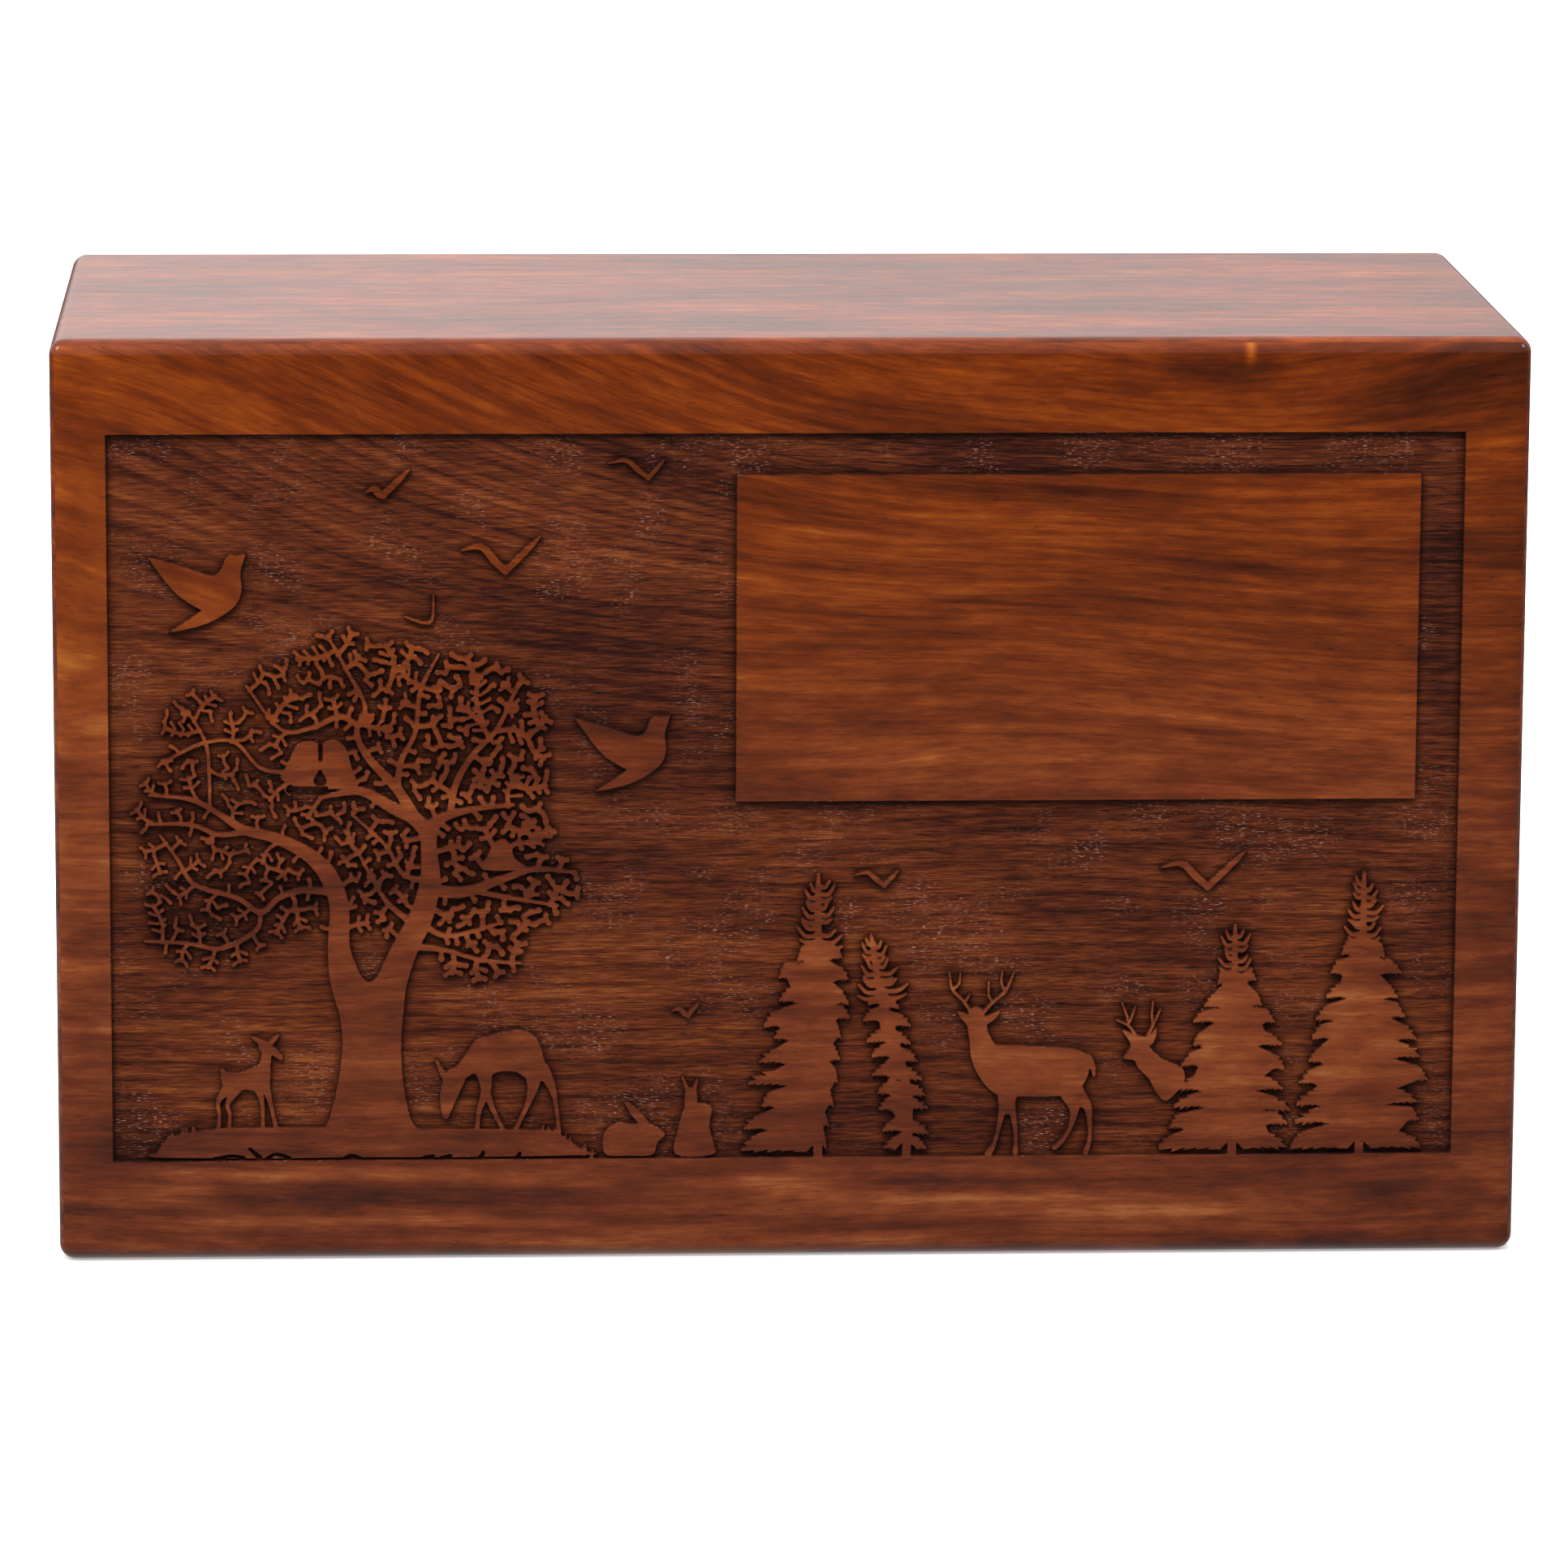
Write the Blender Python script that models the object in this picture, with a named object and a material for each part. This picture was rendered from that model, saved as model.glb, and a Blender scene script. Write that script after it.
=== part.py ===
"""A hollow rosewood urn box: five mitred boards, a screwed base panel, and a woodland relief
engraved round a blank name plate on the front board.

Metres, +Z up. The front faces -Y, and the origin is the middle of the underside.
"""

import math
import random

import bmesh
import bpy
from mathutils import Vector
from mathutils.geometry import delaunay_2d_cdt
from mathutils.kdtree import KDTree

# The box
WIDTH = 0.280
DEPTH = 0.127
HEIGHT = 0.178
BOARD = 0.013  # thickness of every board
EDGE_RADIUS = 0.003
EDGE_STEPS = 3  # facets in each rounded edge
GLUE_LINE = 0.0003  # gap between two glued faces

# The base panel, let into a rebate round the underside
BASE_THICKNESS = 0.009
LIP = 0.005  # what is left of a board outside the rebate
BASE_FIT = 0.0003  # gap between the panel and its rebate
BASE_CHAMFER = 0.0006

# The four countersunk screws
SCREW_LENGTH = 0.022
SCREW_RADIUS = 0.0015
SCREW_HEAD_RADIUS = 0.0027
SCREW_HEAD_HEIGHT = 0.0020
SCREW_RIM = 0.0003  # straight rim under the countersink
SCREW_POINT = 0.0024  # height of the tapered point
SCREW_SUNK = 0.0004  # how far a head sits inside the panel
SCREW_SETBACK = 0.028  # from the front or back face to a screw
SCREW_FIT = 0.0003  # gap round a screw
SLOT_WIDTH = 0.0008
SLOT_DEPTH = 0.0009
ROUND_SIDES = 12

# The engraved field on the front board, measured from the board's edges
FIELD_LEFT_MARGIN = 0.0105
FIELD_RIGHT_MARGIN = 0.0125
FIELD_TOP_MARGIN = 0.018
FIELD_BOTTOM_MARGIN = 0.0196
FIELD_DEPTH = 0.0012

# The blank name plate, left standing near the field's upper right corner
PLATE_WIDTH = 0.130
PLATE_HEIGHT = 0.063
PLATE_TOP_GAP = 0.0078
PLATE_RIGHT_GAP = 0.0082

OVERCUT = 0.004  # how far a cutter runs past what it cuts

# The picture is drawn on a sheet in millimetres, whose edges land on the field's edges
SHEET_LEFT, SHEET_RIGHT = -129.5, 127.5
SHEET_BOTTOM, SHEET_TOP = 19.6, 160.0
CURVE_STEPS = 2  # straight runs between two points of a curve
LIMB_END = 0.7  # how far a stroke's blunt end stands out, as a share of its half width
BEYOND = 1.0  # how far a figure that stands on the margin runs into it
FINEST_GAP = 5e-7  # square metres; a smaller gap isn't engraved
SAME_SPOT = 5e-5  # points closer than this are one
NEAREST = 1e-7  # what the triangulation takes for one point
SEED = 11

field_left = -WIDTH / 2 + FIELD_LEFT_MARGIN
field_right = WIDTH / 2 - FIELD_RIGHT_MARGIN
field_bottom = FIELD_BOTTOM_MARGIN
field_top = HEIGHT - FIELD_TOP_MARGIN
front_face = -DEPTH / 2


def clear_scene():
    for thing in list(bpy.data.objects):
        bpy.data.objects.remove(thing)


def material(name, colour, roughness, metallic=0.0):
    made = bpy.data.materials.new(name)
    made.use_nodes = True
    shader = made.node_tree.nodes["Principled BSDF"]
    shader.inputs["Base Color"].default_value = (*colour, 1.0)
    shader.inputs["Roughness"].default_value = roughness
    shader.inputs["Metallic"].default_value = metallic
    return made


def add_object(name, bm, finish=None):
    """Turns a bmesh into a scene object; without a finish it is a cutter."""
    bmesh.ops.recalc_face_normals(bm, faces=bm.faces)
    mesh = bpy.data.meshes.new(name)
    bm.to_mesh(mesh)
    bm.free()
    made = bpy.data.objects.new(name, mesh)
    bpy.context.scene.collection.objects.link(made)
    if finish:
        mesh.materials.append(finish)
    else:
        made.hide_render = True
        made.display_type = "WIRE"
    return made


def boolean(target, cutter, operation):
    change = target.modifiers.new(f"{operation.lower()} {cutter.name}", "BOOLEAN")
    change.operation = operation
    change.object = cutter


def block(name, low, high, finish=None, radius=0.0, steps=1):
    """A box from its low to its high corner, with all its edges rounded or chamfered."""
    bm = bmesh.new()
    bmesh.ops.create_cube(bm, size=1.0)
    low, high = Vector(low), Vector(high)
    for vert in bm.verts:
        vert.co = Vector(low[i] + (vert.co[i] + 0.5) * (high[i] - low[i]) for i in range(3))
    if radius:
        bmesh.ops.bevel(bm, geom=bm.edges[:], offset=radius, segments=steps, profile=0.5,
                        affect="EDGES")
    return add_object(name, bm, finish)


def turned(name, profile, centre, finish=None):
    """A solid of revolution about a vertical axis, from (radius, height) pairs that rise."""
    bm = bmesh.new()
    rings = []
    for radius, height in profile:
        level = Vector(centre) + Vector((0.0, 0.0, height))
        turns = [2 * math.pi * k / ROUND_SIDES for k in range(ROUND_SIDES if radius else 1)]
        rings.append([bm.verts.new(level + Vector((radius * math.cos(a), radius * math.sin(a), 0.0)))
                      for a in turns])
    for lower, upper in zip(rings, rings[1:]):
        for k in range(ROUND_SIDES):
            n = (k + 1) % ROUND_SIDES
            if len(upper) == 1:
                bm.faces.new((lower[k], lower[n], upper[0]))
            else:
                bm.faces.new((lower[k], lower[n], upper[n], upper[k]))
    for ring in (rings[0], rings[-1]):
        if len(ring) > 1:
            bm.faces.new(ring)
    return add_object(name, bm, finish)


# Curves and strokes of the picture, on the sheet


def outline(points):
    """A loop of straight runs."""
    return [Vector(p) for p in points]


def smooth(points):
    """A loop that curves through the points. A point with a third value is a sharp corner."""
    count = len(points)
    spots = [Vector(p[:2]) for p in points]
    headings = [Vector((0.0, 0.0)) if len(points[i]) > 2 else (spots[(i + 1) % count] - spots[i - 1]) / 2
                for i in range(count)]
    made = []
    for i in range(count):
        n = (i + 1) % count
        for k in range(CURVE_STEPS):
            t = k / CURVE_STEPS
            made.append((2 * t**3 - 3 * t**2 + 1) * spots[i] + (t**3 - 2 * t**2 + t) * headings[i]
                        + (3 * t**2 - 2 * t**3) * spots[n] + (t**3 - t**2) * headings[n])
    return made


def limb(points):
    """The outline of a tapering stroke through points given as (x, z, half width)."""
    middle = [Vector(p[:2]) for p in points]
    left, right = [], []
    for i, here in enumerate(middle):
        run = (middle[min(i + 1, len(middle) - 1)] - middle[max(i - 1, 0)]).normalized()
        side = Vector((-run.y, run.x)) * points[i][2]
        left.append(here + side)
        right.append(here - side)
    start = middle[0] + (middle[0] - middle[1]).normalized() * points[0][2] * LIMB_END
    end = middle[-1] + (middle[-1] - middle[-2]).normalized() * points[-1][2] * LIMB_END
    return [start, *left, end, *reversed(right)]


def walk(points, spacing):
    """Spots evenly spaced along straight runs."""
    onward = 0.0
    for a, b in zip(points, points[1:]):
        a, b = Vector(a[:2]), Vector(b[:2])
        length = (b - a).length
        while onward < length:
            yield a.lerp(b, onward / length)
            onward += spacing
        onward -= length


# The great tree, as strokes of (x, z, half width)

TREE_LIMBS = (
    # trunk and its left arm
    ((-81.6, 24.0, 9.6), (-81.3, 27.0, 7.9), (-81.2, 33.0, 6.4), (-81.0, 42.0, 5.6), (-80.8, 49.0, 6.1)),
    ((-83.5, 47.0, 3.6), (-84.8, 54.0, 3.1), (-86.2, 61.0, 2.2), (-86.1, 69.0, 1.9), (-88.0, 75.0, 1.8),
     (-92.0, 79.4, 1.4), (-98.2, 82.6, 1.1), (-104.0, 84.2, 0.9), (-109.2, 87.6, 0.6),
     (-114.4, 90.2, 0.5), (-122.0, 91.0, 0.3)),
    # the trunk's right arm, up to the high fork
    ((-78.0, 47.0, 3.8), (-76.3, 54.0, 3.0), (-73.6, 61.0, 2.5), (-70.6, 67.0, 2.3), (-68.8, 74.0, 2.0),
     (-69.0, 80.0, 1.6), (-69.1, 84.5, 1.6)),
    # branches of the left arm
    ((-103.0, 83.9, 0.6), (-109.0, 83.3, 0.5), (-114.0, 85.2, 0.45), (-122.5, 85.4, 0.3)),
    ((-86.5, 72.0, 0.9), (-93.0, 72.4, 0.7), (-97.5, 71.0, 0.6), (-101.0, 68.2, 0.6), (-105.6, 71.0, 0.5),
     (-113.5, 73.6, 0.5), (-116.7, 78.5, 0.4), (-120.0, 83.2, 0.3)),
    ((-101.0, 68.4, 0.5), (-102.0, 64.6, 0.5), (-108.6, 61.2, 0.5), (-115.0, 62.2, 0.4), (-123.0, 62.6, 0.3)),
    ((-110.5, 89.0, 0.4), (-110.6, 95.0, 0.4), (-111.2, 101.0, 0.4), (-114.4, 107.0, 0.3)),
    ((-96.0, 95.2, 0.5), (-101.0, 96.2, 0.4), (-105.8, 101.2, 0.4), (-112.0, 100.9, 0.4),
     (-119.5, 97.2, 0.3)),
    # branches of the right arm
    ((-68.9, 83.0, 1.5), (-71.8, 86.3, 1.4), (-76.0, 88.4, 1.2), (-82.0, 91.6, 0.9), (-89.5, 90.4, 0.4)),
    ((-71.4, 86.0, 1.2), (-75.0, 92.0, 1.0), (-80.4, 98.0, 0.8), (-82.6, 103.0, 0.6), (-81.0, 108.0, 0.5),
     (-84.5, 115.0, 0.4), (-88.0, 121.5, 0.3)),
    ((-82.6, 104.5, 0.6), (-86.0, 106.0, 0.6), (-91.0, 103.9, 0.5), (-97.0, 103.6, 0.4),
     (-103.5, 112.0, 0.3)),
    ((-75.0, 92.0, 0.7), (-74.2, 97.5, 0.6), (-71.5, 103.0, 0.5), (-70.5, 111.0, 0.5), (-67.0, 118.0, 0.3)),
    ((-69.0, 84.0, 1.4), (-66.0, 86.6, 1.0), (-60.0, 88.1, 0.6), (-53.0, 88.8, 0.4)),
    ((-65.0, 87.0, 0.7), (-63.8, 93.0, 0.7), (-60.6, 98.5, 0.6), (-56.0, 103.5, 0.5), (-52.5, 111.0, 0.4)),
    ((-68.4, 72.4, 1.3), (-62.5, 71.9, 1.1), (-55.0, 74.4, 0.8), (-49.0, 76.3, 0.6), (-41.0, 75.6, 0.3)),
    ((-60.0, 72.0, 0.6), (-54.0, 70.8, 0.5), (-44.5, 69.2, 0.3)),
    ((-70.8, 66.0, 0.7), (-66.0, 63.4, 0.5), (-59.5, 64.6, 0.4), (-55.0, 66.0, 0.3)),
    ((-73.0, 61.5, 0.8), (-66.0, 60.6, 0.5), (-59.0, 58.6, 0.4), (-51.5, 58.0, 0.3)),
    ((-72.5, 66.0, 0.7), (-77.0, 70.0, 0.5), (-80.0, 75.0, 0.4), (-82.6, 80.0, 0.3)),
    ((-69.0, 74.0, 0.7), (-74.0, 75.5, 0.5), (-77.2, 81.0, 0.4), (-83.5, 87.0, 0.3)),
)
# Lobes of the crown that twigs fill, as (x, z, half width, half height)
CROWN_LOBES = (
    (-78.0, 104.0, 30.0, 20.0), (-109.0, 84.0, 16.5, 27.0), (-88.0, 76.0, 24.0, 13.0),
    (-57.0, 99.0, 11.0, 20.0), (-52.0, 73.0, 12.0, 9.5), (-60.0, 61.0, 10.0, 6.0),
    (-76.0, 82.0, 22.0, 10.0),
)
# Rounds that twigs leave free, as (x, z, radius): the fork, and the perched birds
CROWN_CLEARINGS = (
    (-79.5, 58.0, 9.0), (-81.0, 66.0, 5.5), (-94.0, 58.0, 11.0), (-90.0, 96.5, 8.5),
    (-57.0, 81.0, 5.5), (-63.0, 79.0, 4.0),
)
CROWN_FOOT = 57.0  # no twig springs from a limb lower than this
GOAL_SPACING = 2.7  # between the points that twigs grow towards
TWIG_SPACING = 4.0  # between the twigs along a limb
TWIG_STEP = 2.9  # how far a twig grows in a round
TWIG_REACH = 9.0  # from how far off a point draws a twig
TWIG_STOP = 2.2  # a point this near a twig is reached
TWIG_ROUNDS = 12
WEAKEST_PULL = 0.1
TWIG_WIDTH = 0.5  # half width of a twig
BUD_WIDTH = 1.15  # half width of the bud at its end


def inside_crown(x, z):
    in_lobe = any(((x - cx) / a) ** 2 + ((z - cz) / b) ** 2 < 1 for cx, cz, a, b in CROWN_LOBES)
    return in_lobe and all(math.hypot(x - cx, z - cz) > r for cx, cz, r in CROWN_CLEARINGS)


def crown_goals(chance):
    """Points scattered evenly through the crown."""
    goals = []
    for i in range(int((SHEET_RIGHT - SHEET_LEFT) / GOAL_SPACING)):
        for j in range(int((SHEET_TOP - SHEET_BOTTOM) / GOAL_SPACING)):
            x = SHEET_LEFT + (i + chance.random()) * GOAL_SPACING
            z = SHEET_BOTTOM + (j + chance.random()) * GOAL_SPACING
            if inside_crown(x, z):
                goals.append(Vector((x, z)))
    return goals


def grow(nodes, goals):
    """Adds nodes that grow towards the goals, and returns the parent of each node."""
    parents = [None] * len(nodes)
    for _ in range(TWIG_ROUNDS):
        near = KDTree(len(nodes))
        for k, node in enumerate(nodes):
            near.insert(node.to_3d(), k)
        near.balance()
        pulls = {}
        unreached = []
        for goal in goals:
            _, k, distance = near.find(goal.to_3d())
            if distance > TWIG_STOP:
                unreached.append(goal)
                if distance < TWIG_REACH:
                    pulls.setdefault(k, []).append((goal - nodes[k]).normalized())
        goals = unreached
        for k, ways in pulls.items():
            way = sum(ways, Vector((0.0, 0.0)))
            if way.length > WEAKEST_PULL:
                nodes.append(nodes[k] + way.normalized() * TWIG_STEP)
                parents.append(k)
    return parents


def twigs(chance):
    """The twigs of the crown, each from its limb or its parent twig to its bud."""
    nodes = [p for points in TREE_LIMBS[1:] for p in walk(points, TWIG_SPACING) if p.y > CROWN_FOOT]
    parents = grow(nodes, crown_goals(chance))
    made = []
    taken = set()
    for tip in reversed(range(len(nodes))):
        path = [tip]
        while parents[path[-1]] is not None and path[-1] not in taken:
            taken.add(path[-1])
            path.append(parents[path[-1]])
        if len(path) > 1:
            widths = [BUD_WIDTH] + [TWIG_WIDTH] * (len(path) - 1)
            made.append(limb([(*nodes[n], width) for n, width in zip(path, widths)]))
    return made


def great_tree(chance):
    perched_pair = outline((
        (-97.0, 94.0), (-95.6, 97.2), (-94.2, 100.4), (-92.0, 101.4), (-89.5, 101.0), (-87.0, 101.6),
        (-84.8, 100.2), (-83.6, 96.4), (-82.6, 92.4), (-86.6, 92.0), (-92.6, 92.2)))
    nest_bird = outline(((-58.4, 75.6), (-57.4, 79.4), (-54.4, 80.6), (-52.6, 77.8), (-51.0, 76.0)))
    blossom = outline((
        (-52.6, 81.0), (-52.0, 84.4), (-49.4, 85.6), (-46.8, 83.8), (-47.4, 81.0), (-50.2, 79.0)))
    return [limb(points) for points in TREE_LIMBS] + twigs(chance) + [perched_pair, nest_bird, blossom]


# The firs: foot, height, half widths of the left and right side from top to foot, lean, boughs
FIRS = (
    ((5.4, 20.4), 56.0, (0.4, 8.4, 15.0), (0.4, 5.6, 3.6, 1.0), 0.6, 13),
    ((21.6, 20.8), 41.5, (0.3, 3.4, 4.4), (0.3, 4.4, 5.2), -6.6, 11),
    ((85.2, 20.4), 44.8, (0.4, 8.2, 12.4), (0.4, 8.6, 12.4), 0.0, 12),
    ((109.6, 20.4), 54.4, (0.4, 8.0, 11.4), (0.4, 9.4, 13.6), 0.0, 13),
)
FIR_SKIRT = 0.05  # bare stem under the lowest bough, as a share of the height
STEM_WIDTH = 0.9  # half width
BOUGH_LENGTHS = (0.86, 1.06)  # as shares of the half width there
NOTCH_DEPTHS = (0.5, 0.68)
BOUGH_DROOP = 0.12  # as a share of the height of a bough


def share_of(values, share):
    """The value at a share of the way through a row of values."""
    along = share * (len(values) - 1)
    k = min(int(along), len(values) - 2)
    return values[k] + (values[k + 1] - values[k]) * (along - k)


def fir(foot, height, left_reach, right_reach, lean, boughs, chance):
    """A fir: a jagged cone of drooping boughs on a short stem."""
    foot_x, foot_z = foot
    top = foot_z + height
    skirt = FIR_SKIRT * height
    drop = (height - skirt) / boughs
    sides = {-1: [], 1: []}
    for way, reaches in ((-1, left_reach), (1, right_reach)):
        for k in range(1, boughs + 1):
            reach = share_of(reaches, k / boughs) * chance.uniform(*BOUGH_LENGTHS)
            middle = foot_x + lean * (1 - k / boughs)
            z = top - k * drop
            sides[way].append(Vector((middle + way * reach, z - drop * BOUGH_DROOP)))
            sides[way].append(Vector((middle + way * reach * chance.uniform(*NOTCH_DEPTHS),
                                      z + drop * BOUGH_DROOP)))
    cone = [Vector((foot_x + lean, top)), *sides[1], *reversed(sides[-1])]
    stem = limb(((foot_x, SHEET_BOTTOM - BEYOND, STEM_WIDTH), (foot_x, foot_z + skirt * 2, STEM_WIDTH)))
    return [cone, stem]


# The animals


def beast(*shapes):
    """The outlines of an animal: closed curves as lists, limbs as tuples."""
    return [smooth(s) if isinstance(s, list) else limb(s) for s in shapes]


def stag():
    return beast(
        [(35.0, 42.2), (38.4, 41.6), (46.0, 41.2), (54.4, 40.7), (57.3, 39.0), (57.6, 36.6), (56.3, 33.4),
         (53.0, 31.4), (43.0, 31.2), (39.8, 31.6), (37.2, 33.8), (35.2, 37.2), (34.5, 40.0)],
        ((37.2, 40.0, 2.6), (36.2, 43.2, 2.0), (35.8, 45.4, 1.9), (35.6, 47.6, 1.8)),
        ((34.4, 46.0, 0.9), (33.2, 47.1, 0.7), (32.2, 47.9, 0.3)),
        ((37.0, 46.0, 0.9), (38.8, 47.0, 0.7), (40.0, 47.9, 0.3)),
        ((57.2, 38.6, 1.0), (58.2, 36.8, 0.6), (58.4, 35.2, 0.3)),
        ((41.8, 32.0, 2.0), (41.6, 29.2, 1.5)),
        ((41.0, 29.4, 0.8), (40.2, 25.4, 0.5), (39.3, 21.8, 0.45), (38.2, 19.9, 0.7)),
        ((42.6, 29.4, 0.8), (43.3, 25.4, 0.5), (43.5, 22.0, 0.45), (43.4, 20.3, 0.6)),
        ((54.0, 32.4, 2.4), (54.7, 28.8, 1.0), (54.0, 25.2, 0.5), (52.4, 22.4, 0.45), (51.0, 21.2, 0.6)),
        ((55.2, 31.4, 1.8), (57.2, 29.2, 0.9), (57.7, 26.0, 0.5), (57.7, 22.6, 0.45), (57.0, 20.2, 0.6)),
        ((35.0, 47.4, 0.4), (33.0, 50.2, 0.35), (31.0, 52.4, 0.35), (30.4, 55.8, 0.25)),
        ((31.2, 52.4, 0.3), (32.3, 53.6, 0.3), (32.5, 55.6, 0.25)),
        ((33.4, 49.8, 0.3), (34.4, 51.4, 0.25)),
        ((36.8, 47.6, 0.4), (38.8, 49.8, 0.35), (41.2, 52.0, 0.35), (42.8, 55.6, 0.25)),
        ((41.0, 52.0, 0.3), (40.4, 53.8, 0.3), (40.6, 56.0, 0.25)),
        ((38.8, 49.8, 0.3), (38.0, 51.2, 0.3), (38.0, 53.8, 0.25)),
    )


def watching_stag():
    return beast(
        [(65.4, 43.2), (69.2, 42.6), (69.2, 40.8), (71.6, 38.6), (75.0, 37.0), (76.0, 35.2), (75.2, 32.8),
         (72.4, 30.2), (70.4, 31.8), (69.0, 34.4), (66.8, 36.8), (66.0, 38.2), (64.0, 38.5), (64.4, 39.6),
         (65.3, 41.0)],
        ((66.0, 42.2, 0.9), (65.0, 43.2, 0.6), (64.0, 44.0, 0.3)),
        ((69.0, 42.0, 0.9), (69.8, 43.2, 0.6), (70.2, 44.3, 0.3)),
        ((66.4, 43.0, 0.35), (65.0, 45.0, 0.3), (62.6, 46.2, 0.25)),
        ((65.0, 45.0, 0.3), (64.6, 47.0, 0.3), (63.6, 49.6, 0.25)),
        ((65.2, 45.8, 0.3), (66.2, 48.8, 0.25)),
        ((68.6, 43.0, 0.35), (69.8, 45.4, 0.3), (71.0, 48.2, 0.25)),
        ((69.6, 45.0, 0.3), (69.4, 47.2, 0.3), (69.6, 49.8, 0.25)),
    )


def grazing_doe():
    return beast(
        [(-62.0, 40.4), (-60.0, 43.2), (-57.2, 44.0), (-54.2, 44.8), (-51.2, 44.9), (-48.6, 43.4),
         (-47.3, 39.8), (-46.5, 35.8), (-49.6, 34.8), (-52.4, 36.6), (-55.8, 36.7), (-58.6, 35.4),
         (-60.6, 36.4), (-63.4, 34.6), (-65.4, 35.4), (-64.2, 37.4)],
        ((-64.2, 35.6, 2.0), (-65.2, 32.8, 1.8), (-65.8, 30.0, 1.2), (-66.0, 28.2, 0.7)),
        ((-66.0, 35.6, 0.7), (-67.0, 37.4, 0.5), (-67.7, 39.0, 0.25)),
        ((-58.6, 36.6, 1.6), (-58.3, 33.2, 1.0), (-59.6, 29.0, 0.5), (-60.0, 25.0, 0.45)),
        ((-58.3, 33.2, 0.8), (-56.8, 29.0, 0.5), (-55.0, 25.4, 0.45)),
        ((-49.0, 36.6, 1.8), (-49.4, 33.2, 1.0), (-50.6, 29.6, 0.5), (-52.6, 25.4, 0.45)),
        ((-47.4, 37.0, 1.4), (-45.8, 34.0, 0.9), (-44.9, 30.4, 0.45), (-44.3, 25.0, 0.45)),
    )


def fawn():
    return beast(
        [(-108.6, 36.8), (-105.0, 37.0), (-101.8, 38.4), (-99.6, 38.0), (-99.6, 34.8), (-101.4, 33.2),
         (-104.6, 33.5), (-107.4, 32.8), (-108.6, 34.4)],
        ((-100.8, 36.6, 1.2), (-100.2, 39.6, 1.0), (-100.0, 41.8, 1.0)),
        ((-100.6, 42.0, 1.1), (-98.8, 41.0, 0.8), (-97.4, 39.8, 0.5)),
        ((-100.6, 42.4, 0.5), (-101.6, 43.6, 0.4), (-102.4, 44.6, 0.25)),
        ((-99.6, 42.2, 0.5), (-98.8, 43.6, 0.4), (-98.4, 45.2, 0.25)),
        ((-107.8, 35.8, 0.7), (-108.6, 37.4, 0.4)),
        ((-107.4, 34.0, 1.1), (-109.4, 31.2, 0.5), (-109.2, 28.6, 0.4), (-109.4, 25.4, 0.4)),
        ((-105.8, 34.0, 1.1), (-107.6, 30.8, 0.5), (-107.2, 28.6, 0.4), (-107.4, 25.6, 0.4)),
        ((-101.8, 34.2, 0.9), (-101.0, 30.6, 0.45), (-100.9, 25.6, 0.4)),
        ((-100.4, 34.4, 0.9), (-99.4, 30.6, 0.45), (-98.4, 25.8, 0.4)),
    )


def hares():
    return beast(
        [(-36.0, 22.6), (-35.4, 25.0), (-33.0, 26.7), (-30.2, 26.4), (-26.6, 26.2), (-23.9, 24.4),
         (-25.4, 22.6), (-26.6, 19.0), (-35.2, 19.0)],
        ((-27.6, 26.0, 0.8), (-29.6, 28.4, 0.9), (-31.4, 30.4, 0.4)),
        [(-21.9, 18.8), (-21.6, 25.0), (-20.2, 29.4), (-17.6, 30.4), (-15.0, 29.6), (-15.4, 25.8),
         (-14.6, 22.6), (-14.7, 18.8)],
        ((-19.0, 29.4, 1.2), (-19.0, 31.4, 1.3), (-19.0, 32.6, 0.9)),
        ((-19.4, 32.0, 0.5), (-20.0, 33.8, 0.4), (-20.6, 35.4, 0.25)),
        ((-18.5, 32.0, 0.5), (-18.2, 33.6, 0.4), (-17.8, 35.0, 0.25)),
    )


# A dove with swept wings, its beak at the upper right, in shares of its span
DOVE = (
    (0.00, 0.80, 1), (0.33, 0.69), (0.66, 0.59), (0.75, 0.66), (0.82, 0.80), (0.93, 0.82), (1.00, 0.78, 1),
    (0.94, 0.70), (0.95, 0.43), (0.88, 0.27), (0.68, 0.13), (0.46, 0.05), (0.20, 0.00, 1), (0.40, 0.13),
    (0.54, 0.23, 1), (0.36, 0.34), (0.26, 0.43), (0.14, 0.58),
)
# The doves, as (x, z, span)
DOVES = ((-122.0, 122.2, 18.8), (-41.4, 91.2, 18.4))
# The gulls: the middle, the left and the right wing tip measured from it, and the weight
GULLS = (
    ((-54.2, 134.0), (-8.8, 4.4), (6.6, 7.0), 1.0), ((79.8, 72.2), (-9.2, 3.8), (7.2, 7.0), 1.0),
    ((-28.0, 151.4), (-6.6, 2.6), (3.0, 4.0), 0.6), ((-77.0, 148.8), (-4.4, 1.4), (4.0, 5.0), 0.8),
    ((17.8, 72.8), (-5.8, 2.0), (2.8, 3.0), 0.6), ((-19.6, 47.6), (-3.2, 0.8), (2.2, 2.6), 0.6),
)


def dove(x, z, span):
    return smooth([(x + p[0] * span, z + p[1] * span, *p[2:]) for p in DOVE])


def gull(middle, left, right, weight):
    """A distant gull: its left wing bent and its right wing straight."""
    middle, left, right = Vector(middle), Vector(left), Vector(right)
    thick = Vector((0.0, weight * 0.6))
    elbow, wrist = left * 0.22, left * 0.55
    wrist.y = left.y
    return [middle + p for p in (left, wrist + thick, elbow + thick * 2, thick, right,
                                 right * 0.45 - thick, -thick, elbow)]


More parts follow.
